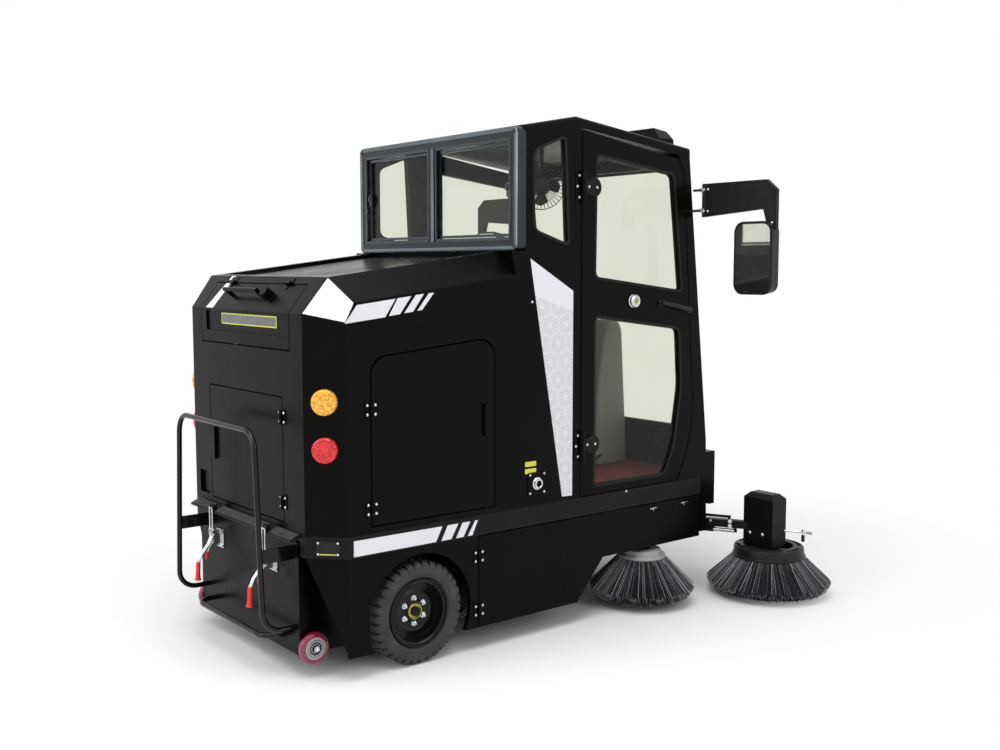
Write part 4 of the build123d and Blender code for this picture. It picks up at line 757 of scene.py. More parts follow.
class SWEEPER_OT_screws(bpy.types.Operator):
    """Screw heads on the hinges' leaves."""

    bl_idname = "sweeper.screws"
    bl_label = "Screws"

    def execute(self, context):
        radius = sizes().screw
        for side, word in SIDES:
            for door, pin_x, heights in SIDE_BUTTS:
                for label, leaf, body in (("screws_", LEAF_SCREW, door + word),
                                          ("screws_beside_", -LEAF_SCREW, "chassis")):
                    bm = bmesh.new()
                    for height in heights:
                        for up in (-LEAF_SCREW, LEAF_SCREW):
                            screw_head(bm, (pin_x + leaf, -SIDE_Y - LEAF_THICK, height + up), OUT, radius)
                    hand_over(label + door + word, bm, "steel", body, side=side)
        bm = bmesh.new()
        for height in REAR_BUTTS_Z:
            for y in REAR_BUTT_SCREWS_Y:
                for up in (-LEAF_SCREW, LEAF_SCREW):
                    screw_head(bm, (REAR_X - LEAF_THICK, y, height + up), BACK, radius)
        hand_over("screws_rear_door", bm, "steel", "chassis")
        return {"FINISHED"}


class SWEEPER_OT_cab_hinges(bpy.types.Operator):
    """Straps and screws of the cab doors' hinges."""

    bl_idname = "sweeper.cab_hinges"
    bl_label = "Cab hinges"

    def execute(self, context):
        for side, word in SIDES:
            bm = bmesh.new()
            for height in CAB_HINGE_Z:
                for x, up in STRAP_SCREWS:
                    screw_head(bm, (x, -SIDE_Y - STRAP_SCREW_R, height + up), OUT, STRAP_SCREW_R, 16)
            hand_over("screws_cab_door_" + word, bm, "steel", "cab_door_" + word, side=side)
            bm = bmesh.new()
            for height in CAB_HINGE_Z:
                outline = [(STRAP_ROOT_X, height + up) for up in (-STRAP_ROOT_HALF, STRAP_ROOT_HALF)]
                outline += [(STRAP_END_X + STRAP_END_R * cos(turn), height + STRAP_END_R * sin(turn))
                            for turn in STRAP_TURNS]
                slab(bm, on_side(-SIDE_Y - STRAP_FACE, outline), (0, -STRAP_THICK, 0))
            hand_over("straps_cab_door_" + word, bm, "frame_paint", "cab_door_" + word, side=side)
        bm = bmesh.new()
        for height in CAB_HINGE_Z:
            for x, up in POST_SCREWS:
                screw_head(bm, (x, -SIDE_Y - POST_FACE, height + up), OUT, STRAP_SCREW_R, 16)
        other_side(bm)
        hand_over("screws_cab_posts", bm, "steel", "chassis")
        return {"FINISHED"}


# Window seals and the rear window's frames

QUARTER_PANE = ((-0.236, 1.756), (-0.022, 1.688), (-0.046, 2.172), (-0.236, 2.098))
UPPER_PANE = ((0.121, 1.551), (0.705, 1.481), (0.637, 2.042), (0.127, 2.103))
LOWER_PANE = ((0.122, 0.612), (0.6, 0.612), (0.665, 0.762), (0.708, 1.039), (0.688, 1.319), (0.122, 1.391))
DOOR_PANE_CORNER, QUARTER_PANE_CORNER = 0.032, 0.034
PANE_OUT, PANE_IN = 0.606, 0.6
DOOR_IN = 0.585
SEAL_PROUD = 0.0014
SCREEN_FOOT, SCREEN_TOP = Vector((0.884, 0, 0.8)), Vector((0.7477, 0, 2.08))
SCREEN_HALF = Vector((0, 0.555, 0))
SCREEN_CORNER, SCREEN_SEAL_DEPTH, SCREEN_SEAL_PROUD = 0.045, 0.0197, 0.0012
REAR_WINDOW_X = -0.32
REAR_PANE_X = -0.2977
REAR_PANE_Y, REAR_PANE_HALF = 0.29625, 0.27375
REAR_PANE_LOW, REAR_PANE_HIGH = 1.717, 2.143
SASH_STEP, SASH_INSET = 0.003, 0.016
CATCH_Y = REAR_PANE_Y + REAR_PANE_HALF - 0.03
REAR_EDGE = ((-0.6145, 1.6725), (0.6145, 2.187))
MIDDLE_BAR = ((-0.02, 1.719), (0.002, 2.141))
CLIPS_Y = (0.32, -0.175)


def pane_seals(bm, pane, corner):
    """The outer and the inner seal of a side pane."""
    width = sizes().seal
    slab(bm, on_side(-PANE_OUT, pane), (0, PANE_OUT - SIDE_Y - SEAL_PROUD, 0), corner, rim=width)
    slab(bm, on_side(-PANE_IN, pane), (0, PANE_IN - DOOR_IN + SEAL_PROUD, 0), corner, rim=width)


class SWEEPER_OT_seals(bpy.types.Operator):
    """Rubber seals round the panes and the bright inner frames of the rear window."""

    bl_idname = "sweeper.seals"
    bl_label = "Window seals"

    def execute(self, context):
        for side, word in SIDES:
            bm = bmesh.new()
            for pane in (UPPER_PANE, LOWER_PANE):
                pane_seals(bm, pane, DOOR_PANE_CORNER)
            hand_over("door_seals_" + word, bm, "rubber", "cab_door_" + word, side=side)
        bm = bmesh.new()
        pane_seals(bm, QUARTER_PANE, QUARTER_PANE_CORNER)
        other_side(bm)
        outward = facing((SCREEN_TOP - SCREEN_FOOT).cross(Vector((0, 1, 0))).normalized(), (1, 0, 0))
        corners = (SCREEN_FOOT - SCREEN_HALF, SCREEN_FOOT + SCREEN_HALF,
                   SCREEN_TOP + SCREEN_HALF, SCREEN_TOP - SCREEN_HALF)
        slab(bm, [one + outward * SCREEN_SEAL_PROUD for one in corners], outward * -SCREEN_SEAL_DEPTH,
             SCREEN_CORNER, rim=sizes().seal * 1.3)
        hand_over("fixed_seals", bm, "rubber", "chassis")

        y0, y1 = REAR_PANE_Y - REAR_PANE_HALF, REAR_PANE_Y + REAR_PANE_HALF
        bm = bmesh.new()
        slab(bm, across(REAR_PANE_X, oblong((y0, REAR_PANE_LOW), (y1, REAR_PANE_HIGH))),
             (REAR_WINDOW_X - REAR_PANE_X - 0.002, 0, 0), 0.014, rim=0.013)
        slab(bm, across(REAR_PANE_X - SASH_STEP, oblong((y0 + SASH_INSET, REAR_PANE_LOW + SASH_INSET),
                                                        (y1 - SASH_INSET, REAR_PANE_HIGH - SASH_INSET))),
             (-0.008, 0, 0), 0.01, rim=0.012)
        block(bm, (REAR_PANE_X - 0.012, CATCH_Y, 1.93), (0.012, 0.016, 0.06), edge=0.003)
        block(bm, (REAR_PANE_X - 0.02, CATCH_Y, 1.938), (0.01, 0.01, 0.026), edge=0.003)
        other_side(bm)
        hand_over("rear_window_rims", bm, "window_trim", "chassis")

        bm = bmesh.new()
        slab(bm, across(REAR_WINDOW_X + 0.001, oblong(*REAR_EDGE)), (-0.0055, 0, 0), 0.028, 6, rim=0.02)
        ease(bm, [edge for edge in level_edges(bm, 0) if edge.verts[0].co.x < REAR_WINDOW_X - 0.004], 0.0035)
        slab(bm, across(REAR_WINDOW_X - FILM_GAP, oblong(*MIDDLE_BAR)), (-0.006, 0, 0))
        hand_over("rear_window_edge", bm, "window_edge", "chassis")
        bm = bmesh.new()
        for y in CLIPS_Y:
            block(bm, (REAR_WINDOW_X - 0.006, y, 1.665), (0.014, 0.046, 0.022), edge=0.003)
            block(bm, (REAR_WINDOW_X - 0.014, y, 1.658), (0.008, 0.026, 0.01), edge=0.003)
        hand_over("window_clips", bm, "plastic", "chassis")
        return {"FINISHED"}


# Door fittings and small plates

LOCK_PLACE = Vector((0.368, -SIDE_Y, 1.449))
LOCK_RING = (
    (0.0243, 0.0), (0.03, 0.0), (0.03, 0.003), (0.0262, 0.006), (0.0262, 0.01), (0.0285, 0.012),
    (0.0285, 0.018), (0.0262, 0.0215), (0.0215, 0.0235), (0.015, 0.0235), (0.014, 0.0224), (0.0243, 0.0224),
)
LOCK_NOTCHES, LOCK_NOTCH_UP = 14, 0.0285
LEVER_LINE = ((0.556, -0.616, 1.4345), (0.56, -0.634, 1.4335), (0.64, -0.637, 1.42),
              (0.735, -0.634, 1.4), (0.745, -0.616, 1.3985))
LEVER_R = 0.0115
LEVER_FEET = ((0.5565, -0.6165, 1.4345), (0.745, -0.6165, 1.3985))
SKIRT_LATCHES_X, SKIRT_LATCH_Z = (0.515, 0.73), 0.46
LID_FACE_X = REAR_X + 0.0078
LID_LABEL_RIM = ((-0.283, 1.365), (0.211, 1.411))
LID_LABEL = ((-0.279, 1.369), (0.207, 1.407))
PLATE_OUT = Vector((-1, -1, 0)).normalized()
PLATE_RUN = Vector((1, -1, 0)).normalized()
PLATE_PLACE = Vector((-1.213, -0.558, 0.53)) + PLATE_OUT * FILM_GAP
PLATE_THICK = 0.0014
PLATE_HALVES = (0.046, 0.029)
RIVETS = (0.039, 0.022)
PLATE_LABEL = ((-0.033, -0.0245), (0.033, -0.0205))
SIDE_LABEL_X, SIDE_LABELS_Z, SIDE_LABEL_HIGH = (-0.277, -0.215), (0.7185, 0.7495), 0.0215
SOCKET_PLACE = Vector((-0.212, -SIDE_Y - 0.004, 0.672))
SOCKET_RING = (
    (0.0193, 0.0), (0.027, 0.0), (0.027, 0.003), (0.0222, 0.0045), (0.0222, 0.0135), (0.02, 0.0152),
    (0.015, 0.0152), (0.0142, 0.0141), (0.0193, 0.0141),
)
SOCKET_SCREW = 0.04
BODY_BOLTS = ((0.336, 0.568), (-0.24, 1.456))
TREAD_IN, TREAD_OUT = Vector((REAR_X - 0.003, 0, 0.5762)), Vector((-1.3185, 0, 0.5588))
TREAD_STRIPS = ((-0.452, -0.275), (-0.215, 0.215), (0.275, 0.452))
ROOF_LAMP = ((0.7085, -0.532, 2.178), (0.7085, -0.42, 2.178),
             (0.7, -0.42, 2.234), (0.7, -0.52, 2.234))
ROOF_LAMP_OUT = Vector((0.989, 0, 0.148))


class SWEEPER_OT_door_fittings(bpy.types.Operator):
    """Round locks and pull levers on the cab doors, latches along the skirts."""

    bl_idname = "sweeper.door_fittings"
    bl_label = "Door fittings"

    def execute(self, context):
        for side, word in SIDES:
            door = "cab_door_" + word
            bm = bmesh.new()
            turned(bm, LOCK_PLACE, OUT, UP, LOCK_RING, 40)
            notch = bmesh.new()
            bar(notch, LOCK_PLACE + Vector((0, -0.0125, LOCK_NOTCH_UP)),
                LOCK_PLACE + Vector((0, -0.0175, LOCK_NOTCH_UP)), 0.0022, 6)
            repeat_round(notch, LOCK_PLACE, (0, 1, 0), LOCK_NOTCHES)
            add_in(bm, notch)
            hand_over("door_lock_ring_" + word, bm, "steel", door, side=side)
            bm = bmesh.new()
            bar(bm, LOCK_PLACE + Vector((0, -0.0221, 0)), LOCK_PLACE + Vector((0, -0.0232, 0)), 0.014, 28)
            block(bm, LOCK_PLACE + Vector((0, -0.0234, 0)), (0.0025, 0.001, 0.013))
            hand_over("door_lock_face_" + word, bm, "brass", door, side=side)
            bm = bmesh.new()
            tube(bm, LEVER_LINE, LEVER_R, 12)
            for place in LEVER_FEET:
                block(bm, place, (0.034, 0.005, 0.03), edge=0.002)
            hand_over("door_lever_" + word, bm, "plastic", door, side=side)
            bm = bmesh.new()
            for x in SKIRT_LATCHES_X:
                block(bm, (x, -SIDE_Y - 0.0068, SKIRT_LATCH_Z + 0.0045), (0.046, 0.0022, 0.0046), edge=0.0008)
                bar(bm, (x, -SIDE_Y - 0.0055, SKIRT_LATCH_Z - 0.003),
                    (x, -SIDE_Y - 0.0072, SKIRT_LATCH_Z - 0.003), 0.0035, 16)
            hand_over("skirt_latches_" + word, bm, "steel", "skirt_door_" + word, side=side)
        return {"FINISHED"}


def plate_point(along, up, out=0.0):
    """A point on the right corner's plate, from its middle."""
    return PLATE_PLACE + PLATE_RUN * along + UP * up + PLATE_OUT * out


class SWEEPER_OT_plates(bpy.types.Operator):
    """Blank plates and labels, the charging socket's ring, and small bolts on the body."""

    bl_idname = "sweeper.plates"
    bl_label = "Plates"

    def execute(self, context):
        bm = bmesh.new()
        slab(bm, across(LID_FACE_X, oblong(*LID_LABEL_RIM)), (-0.0012, 0, 0), 0.003, rim=0.0045)
        hand_over("lid_label_rim", bm, "label_yellow", "top_lid")
        bm = bmesh.new()
        slab(bm, across(LID_FACE_X, oblong(*LID_LABEL)), (-0.0009, 0, 0))
        hand_over("lid_label", bm, "label_grey", "top_lid")

        bm = bmesh.new()
        wide, high = PLATE_HALVES
        slab(bm, [plate_point(a, b) for a, b in oblong((-wide, -high), (wide, high))],
             PLATE_OUT * PLATE_THICK, 0.004)
        other_side(bm)
        hand_over("corner_plates", bm, "plate_black", "chassis")
        bm = bmesh.new()
        for along in (-RIVETS[0], RIVETS[0]):
            for up in (-RIVETS[1], RIVETS[1]):
                screw_head(bm, plate_point(along, up, PLATE_THICK), PLATE_OUT, 0.0042)
        other_side(bm)
        hand_over("corner_plate_rivets", bm, "steel", "chassis")
        bm = bmesh.new()
        slab(bm, [plate_point(a, b, PLATE_THICK) for a, b in oblong(*PLATE_LABEL)], PLATE_OUT * 0.0003)
        for z in SIDE_LABELS_Z:
            slab(bm, on_side(-SIDE_Y - FILM_GAP, oblong((SIDE_LABEL_X[0], z),
                                                        (SIDE_LABEL_X[1], z + SIDE_LABEL_HIGH))),
                 (0, -FILM, 0), 0.002)
        hand_over("blank_labels", bm, "label_yellow", "chassis")

        bm = bmesh.new()
        turned(bm, SOCKET_PLACE, OUT, UP, SOCKET_RING, 40)
        for x in (-SOCKET_SCREW, SOCKET_SCREW):
            for z in (-SOCKET_SCREW, SOCKET_SCREW):
                screw_head(bm, SOCKET_PLACE + Vector((x, 0, z)), OUT, 0.0056)
        hand_over("socket_ring", bm, "steel", "chassis")
        bm = bmesh.new()
        for x, z in BODY_BOLTS:
            hex_bolt(bm, (x, -SIDE_Y, z), OUT, 0.0042)
        other_side(bm)
        hand_over("body_bolts", bm, "steel", "chassis")

        # Gritty tread on the flange over the bin, and the clear ends of the roof's lamp bar
        bm = bmesh.new()
        raised = facing((TREAD_OUT - TREAD_IN).cross(Vector((0, 1, 0))).normalized(), UP)
        for y0, y1 in TREAD_STRIPS:
            slab(bm, [Vector((one.x, y, one.z)) + raised * 0.0006
                      for one, y in ((TREAD_IN, y0), (TREAD_IN, y1), (TREAD_OUT, y1), (TREAD_OUT, y0))],
                 raised * 0.001)
        hand_over("flange_tread", bm, "grit", "chassis")
        bm = bmesh.new()
        slab(bm, [Vector(one) + ROOF_LAMP_OUT * 0.0004 for one in ROOF_LAMP], ROOF_LAMP_OUT * 0.007, 0.006)
        other_side(bm)
        hand_over("roof_lamp_lenses", bm, "clear_lens", "chassis")
        return {"FINISHED"}


# Dust bin's latches and casters

LATCHES_Y = (-0.245, 0.245)
LATCH_FACE = -1.28
LATCH_CHEEK = 0.0125
BOLT_X, BOLT_R, BOLT_TOP = -1.3243, 0.0034, 0.5695
# x, z, half its length and radius
LATCH_ROLLER = (-1.3205, 0.559, 0.0072, 0.0055)
# Distance to each side of the latch, and heights
LATCH_BASE_BOLT = (0.0225, (0.402, 0.461))
CHEEK = ((LATCH_FACE - 0.004, 0.4), (LATCH_FACE - 0.004, 0.466), (-1.306, 0.466), (-1.326, 0.44),
         (-1.322, 0.412))
NUTS_Z = ((0.452, 0.458), (0.474, 0.48))
# x, share of the cheek's distance, z
LONG_LEVER = ((-1.322, 0.55, 0.446), (-1.341, 0.55, 0.41), (-1.372, 0.45, 0.372), (-1.385, 0.35, 0.342))
SHORT_LEVER = ((-1.318, 0.42), (-1.336, 0.392), (-1.343, 0.374))
# x, half the length, z and radius
CROSS_PINS = ((BOLT_X, 0.0159, BOLT_TOP, BOLT_R), (BOLT_X, 0.018, 0.466, 0.0055),
              (-1.318, 0.018, 0.428, 0.0045))
LONG_GRIP = (
    (0.0006, -0.002), (0.0085, -0.002), (0.0098, 0.002), (0.0096, 0.04), (0.0104, 0.062),
    (0.0112, 0.068), (0.0145, 0.0735), (0.014, 0.0775), (0.006, 0.08), (0.0006, 0.08),
)
SHORT_GRIP = ((0.0005, 0.0), (0.0066, 0.0), (0.0074, 0.003), (0.007, 0.024), (0.0056, 0.032),
              (0.0005, 0.034))


class SWEEPER_OT_latches(bpy.types.Operator):
    """Toggle latches of the dust bin: base, U-bolt, bent levers and red grips."""

    bl_idname = "sweeper.latches"
    bl_label = "Latches"

    def execute(self, context):
        steel, red, dark = bmesh.new(), bmesh.new(), bmesh.new()
        base_bolt, bolts_z = LATCH_BASE_BOLT
        for y in LATCHES_Y:
            block(steel, (LATCH_FACE - 0.0022, y, 0.432), (0.004, 0.06, 0.082), edge=0.0015)
            for dy in (-base_bolt, base_bolt):
                for z in bolts_z:
                    hex_bolt(steel, (LATCH_FACE - 0.0042, y + dy, z), BACK, 0.0062)
            for dy in (-LATCH_CHEEK, LATCH_CHEEK):
                slab(steel, on_side(y + dy - 0.0014, CHEEK), (0, 0.0028, 0))
                bar(steel, (BOLT_X, y + dy, 0.438), (BOLT_X, y + dy, BOLT_TOP), BOLT_R, 10)
                for low, high in NUTS_Z:
                    bar(steel, (BOLT_X, y + dy, low), (BOLT_X, y + dy, high), 0.0064, 6)
                tube(steel, [(x, y + dy * share, z) for x, share, z in LONG_LEVER], 0.0042, 8)
            for x, half, z, radius in CROSS_PINS:
                bar(steel, (x, y - half, z), (x, y + half, z), radius, 10)
            bar(steel, (-1.385, y, 0.352), (-1.388, y, 0.33), 0.0072, 12)
            tube(steel, on_side(y + 0.004, SHORT_LEVER), 0.0036, 8)
            turned(red, (-1.387, y, 0.34), Vector((-0.055, 0, -1)).normalized(), (0, 1, 0), LONG_GRIP, 24)
            turned(red, (-1.3425, y + 0.004, 0.379), Vector((-0.2, 0, -1)).normalized(), (0, 1, 0),
                   SHORT_GRIP, 18)
            x, z, half, radius = LATCH_ROLLER
            bar(dark, (x, y - half, z), (x, y + half, z), radius, 14)
        latches = hand_over("latch_metal", steel, "steel", "dust_bin")
        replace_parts(latches, "bin_latches")
        hand_over("latch_grips", red, "grip", "dust_bin")
        hand_over("latch_rollers", dark, "plastic", "chassis")
        return {"FINISHED"}


CASTER_TREAD = (
    (0.044, -0.015), (0.056, -0.0155), (0.0605, -0.013), (0.0628, -0.0085), (0.0635, 0.0),
    (0.0628, 0.0085), (0.0605, 0.013), (0.056, 0.0155), (0.044, 0.015),
)
CASTER_HUB = (
    (0.0105, -0.0152), (0.02, -0.0152), (0.0215, -0.012), (0.025, -0.012), (0.0265, -0.0158),
    (0.0425, -0.0158), (0.0442, -0.0145), (0.0442, 0.0145), (0.0425, 0.0158), (0.0265, 0.0158),
    (0.025, 0.012), (0.0215, 0.012), (0.02, 0.0152), (0.0105, 0.0152),
)
CASTER_SEALS = (
    (0.0118, ((0.0212, 0.0), (0.0262, 0.0), (0.0262, 0.0032), (0.0212, 0.0032))),
    (0.0156, ((0.033, 0.0), (0.0352, 0.0), (0.0352, 0.0005), (0.033, 0.0005))),
)
CASTER_BOLT = (-1.229, -0.4872, 0.12)


class SWEEPER_OT_casters(bpy.types.Operator):
    """Casters: crimson tread round a pale hub, with its seal and bolt."""

    bl_idname = "sweeper.casters"
    bl_label = "Casters"

    def execute(self, context):
        for side, word in SIDES:
            body = "caster_" + word
            centre = box_centre(body)
            bm = bmesh.new()
            turned(bm, centre, (0, 1, 0), UP, CASTER_TREAD, 64)
            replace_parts(hand_over("caster_tread_" + word, bm, "caster", body), "caster_" + word)
            bm = bmesh.new()
            turned(bm, centre, (0, 1, 0), UP, CASTER_HUB, 56)
            hand_over("caster_hub_" + word, bm, "caster_hub", body)
            bm = bmesh.new()
            for face in (-1, 1):
                for out, profile in CASTER_SEALS:
                    turned(bm, centre + Vector((0, face * out, 0)), (0, face, 0), UP, profile, 40)
            hand_over("caster_seals_" + word, bm, "rubber", body)
        bm = bmesh.new()
        hex_bolt(bm, CASTER_BOLT, OUT, 0.0088)
        other_side(bm)
        hand_over("caster_bolts", bm, "steel", "dust_bin")
        return {"FINISHED"}


# Front arms

ARM_PIVOT = Vector((0.935, -0.48, 0))
ARM_LINE = Vector((0.181, -0.355, 0)).normalized()
ARM_REAR = Vector((-0.355, -0.181, 0)).normalized()
ARM_AXLE = 0.563
MOTOR_SCREWS = ((1.0526, -0.768, 0.294), (1.0526, -0.844, 0.296))
ARM_BOLTS = ((0.107, 0.333), (0.208, 0.339), (0.208, 0.316))
# Along the arm from and to, height, radius and sides
ARM_RODS = ((0.128, 0.226, 0.289, 0.0096, 16), (0.12, 0.129, 0.289, 0.0125, 16),
            (0.455, 0.585, 0.313, 0.0042, 12))


def arm_point(along, z, rearward=0.0):
    """A point beside the right arm's middle line."""
    return ARM_PIVOT + ARM_LINE * along + ARM_REAR * rearward + UP * z


class SWEEPER_OT_front_arms(bpy.types.Operator):
    """Bolts, damper and link rod of the front brush arms."""

    bl_idname = "sweeper.front_arms"
    bl_label = "Front arms"

    def execute(self, context):
        for side, word in SIDES:
            body = "front_arm_" + word
            bm = bmesh.new()
            for place in MOTOR_SCREWS:
                screw_head(bm, place, BACK, 0.0105, 20)
            for along, z in ARM_BOLTS:
                hex_bolt(bm, arm_point(along, z, 0.019), ARM_REAR, 0.0072)
            for start, end, z, radius, faces in ARM_RODS:
                bar(bm, arm_point(start, z), arm_point(end, z), radius, faces)
            hex_bolt(bm, arm_point(ARM_AXLE, 0.318), UP, 0.008)
            bar(bm, arm_point(ARM_AXLE, 0.276), arm_point(ARM_AXLE, 0.322), 0.005, 12)
            hex_bolt(bm, arm_point(0.0, 0.3552), UP, 0.0125)
            hand_over("arm_metal_" + word, bm, "steel", body, side=side)
            bm = bmesh.new()
            bar(bm, arm_point(0.046, 0.289), arm_point(0.122, 0.289), 0.0138, 18)
            bar(bm, arm_point(ARM_AXLE, 0.268), arm_point(ARM_AXLE, 0.3), 0.0085, 14)
            hand_over("arm_damper_" + word, bm, "plastic", body, side=side)
            bm = bmesh.new()
            bar(bm, arm_point(0.578, 0.313), arm_point(0.606, 0.313), 0.0075, 16)
            hand_over("arm_sleeve_" + word, bm, "caster_hub", body, side=side)
        return {"FINISHED"}


# Inside of the cab

FAN_CENTRE = Vector((-0.051, -0.45, 1.96))
FAN_AIM = Vector((0.6, 0.8, -0.1)).normalized()
FAN_SIDE = FAN_AIM.cross(UP).normalized()
FAN_BRACKET = (-0.0693, -0.4744, 1.964)
FAN_STALK = FAN_CENTRE - FAN_AIM * 0.031
FAN_CEILING = 2.189
FAN_MOTOR = (
    (0.0006, -0.062), (0.022, -0.0615), (0.033, -0.056), (0.04, -0.042), (0.043, -0.015),
    (0.0435, -0.002), (0.04, 0.001), (0.0006, 0.001),
)
# Out, up and along, from the middle of the blades
FAN_BLADE = ((0.016, -0.01, 0.003), (0.07, -0.034, 0.0015), (0.088, 0.000, 0.004), (0.076, 0.03, 0.0075),
             (0.018, 0.012, 0.006))
# Radius, along and thickness
FAN_RINGS = ((0.104, -0.004, 0.0017), (0.1035, 0.006, 0.0014), (0.07, 0.0125, 0.0011),
             (0.04, 0.0135, 0.0011))
FAN_RIB = ((0.022, 0.0135), (0.078, 0.012), (0.104, -0.004), (0.08, -0.022), (0.04, -0.026))
FAN_BADGE = ((0.0005, 0.0), (0.023, 0.0), (0.022, 0.003), (0.012, 0.0042), (0.0005, 0.0044))
FAN_BLADES, FAN_RIBS = 4, 36
CONSOLE = (
    (0.59, 0.594), (0.805, 0.594), (0.8, 0.76), (0.765, 1.29), (0.735, 1.335), (0.672, 1.335),
    (0.636, 1.25), (0.606, 1.05), (0.59, 0.82),
)
CONSOLE_HALF = 0.15
DIALS_Y = (0.045, -0.045)
DIAL = ((0.0005, 0.0), (0.022, 0.0), (0.0215, 0.005), (0.0185, 0.006), (0.0005, 0.0062))
LINING_Y = ((-0.545, -0.19), (-0.18, 0.18), (0.19, 0.545))
LINING_FOOT, LINING_TOP = (-0.0937, 0.62), (-0.2634, 1.45)


def fan_point(out, along, up=0.0):
    """A point of the fan, from the middle of its blades."""
    return FAN_CENTRE + FAN_SIDE * out + FAN_AIM.cross(FAN_SIDE) * up + FAN_AIM * along


class SWEEPER_OT_fan(bpy.types.Operator):
    """Cab fan: motor, blades and a wire cage."""

    bl_idname = "sweeper.fan"
    bl_label = "Cab fan"

    def execute(self, context):
        dark, wire = bmesh.new(), bmesh.new()
        turned(dark, FAN_CENTRE, FAN_AIM, FAN_SIDE, FAN_MOTOR, 40)
        bar(dark, FAN_STALK, FAN_BRACKET, 0.012, 14)
        bar(dark, FAN_STALK, (FAN_STALK.x, FAN_STALK.y, FAN_CEILING), 0.009, 14)
        block(dark, (FAN_STALK.x, FAN_STALK.y, FAN_CEILING - 0.005), (0.05, 0.04, 0.01), edge=0.002)
        blade = bmesh.new()
        slab(blade, [fan_point(out, along, up) for out, up, along in FAN_BLADE], FAN_AIM * 0.0012, 0.008)
        repeat_round(blade, FAN_CENTRE, FAN_AIM, FAN_BLADES)
        add_in(dark, blade)
        for reach, along, thick in FAN_RINGS:
            turned(wire, FAN_CENTRE + FAN_AIM * along, FAN_AIM, FAN_SIDE,
                   [(reach + thick * cos(turn), thick * sin(turn))
                    for turn in (0, pi / 2, pi, 3 * pi / 2)], 56)
        rib = bmesh.new()
        for near, far in zip(FAN_RIB, FAN_RIB[1:]):
            bar(rib, fan_point(*near), fan_point(*far), 0.001, 4)
        repeat_round(rib, FAN_CENTRE, FAN_AIM, FAN_RIBS)
        add_in(wire, rib)
        fan = hand_over("fan_body", dark, "plastic", "chassis")
        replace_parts(fan, "cab_fan")
        hand_over("fan_cage", wire, "wire", "chassis")
        bm = bmesh.new()
        turned(bm, FAN_CENTRE + FAN_AIM * 0.0125, FAN_AIM, FAN_SIDE, FAN_BADGE, 32)
        hand_over("fan_badge", bm, "grip", "chassis")
        return {"FINISHED"}


class SWEEPER_OT_interior(bpy.types.Operator):
    """Steering console, pedal and lining inside the cab."""

    bl_idname = "sweeper.interior"
    bl_label = "Interior"

    def execute(self, context):
        bm = bmesh.new()
        slab(bm, on_side(-CONSOLE_HALF, CONSOLE), (0, 2 * CONSOLE_HALF, 0), 0.022)
        ease(bm, level_edges(bm, 1), 0.014, 3)
        hand_over("console", bm, "liner", "chassis")
        bm = bmesh.new()
        for y in DIALS_Y:
            turned(bm, (0.6535, y, 1.293), Vector((-0.92, 0, 0.39)).normalized(), (0, 1, 0), DIAL, 28)
        block(bm, (0.555, -0.13, 0.625), (0.13, 0.07, 0.008), Matrix.Rotation(radians(-22), 4, "Y"),
              edge=0.003)
        hand_over("console_controls", bm, "plastic", "chassis")
        # Lining on the front face of the bulkhead
        bm = bmesh.new()
        foot_x, foot_z = LINING_FOOT
        top_x, top_z = LINING_TOP
        for y0, y1 in LINING_Y:
            slab(bm, ((foot_x, y0, foot_z), (foot_x, y1, foot_z), (top_x, y1, top_z), (top_x, y0, top_z)),
                 (0.0058, 0, 0.0012), 0.012)
        hand_over("bulkhead_lining", bm, "liner", "chassis")
        return {"FINISHED"}


# Wheels

REAR_TYRE_R, REAR_BEAD_R = 0.212, 0.1435
FRONT_TYRE_R, FRONT_BEAD_R = 0.2, 0.1205
RIM_R, RIM_WIDE, HUB_R = 0.143, 0.112, 0.0205
LUG_HIGH = 0.011
WHEEL_NUTS, NUT_CIRCLE = 6, 0.052
HUB_RING = ((HUB_R, 0.0), (0.034, 0.0), (0.034, 0.012), (0.031, 0.016), (0.0275, 0.016), (0.0255, 0.01),
            (HUB_R, 0.01))


def tyre_shape(bm, centre, radius, width, bead):
    """A tyre with block lugs on its shoulders and a grooved crown."""
    half = width / 2
    base = radius - LUG_HIGH
    wall = (
        (bead, -half * 0.8), (bead + 0.006, -half * 0.9), (bead + 0.014, -half * 0.93),
        (bead + 0.017, -half * 0.985), (base - 0.032, -half), (base - 0.016, -half * 0.97),
        (base - 0.004, -half * 0.86), (base, -half * 0.66), (base, -half * 0.1),
        (base - 0.006, -half * 0.08),
    )
    turned(bm, centre, (0, 1, 0), UP, wall + tuple((out, -along) for out, along in reversed(wall)), 72)
    lugs = sizes().tyre_lugs
    pitch = 2 * pi / lugs
    for side in (-1, 1):
        lug = bmesh.new()
        wide = radius * pitch * 0.34
        outline = (
            (side * half * 0.16, base - 0.004), (side * half * 0.16, radius - 0.0008),
            (side * half * 0.74, radius - 0.0008), (side * half * 0.95, radius - 0.012),
            (side * half * 0.995, base - 0.02), (side * half * 0.93, base - 0.022),
        )
        slab(lug, across(-wide, outline), (2 * wide, 0, 0))
        ease(lug, [edge for edge in lug.edges if edge.calc_length() > 0.012], 0.0016, 1)
        swing(lug, side * pitch * 0.25, "Y")
        shift(lug, centre)
        repeat_round(lug, centre, (0, 1, 0), lugs)
        add_in(bm, lug)


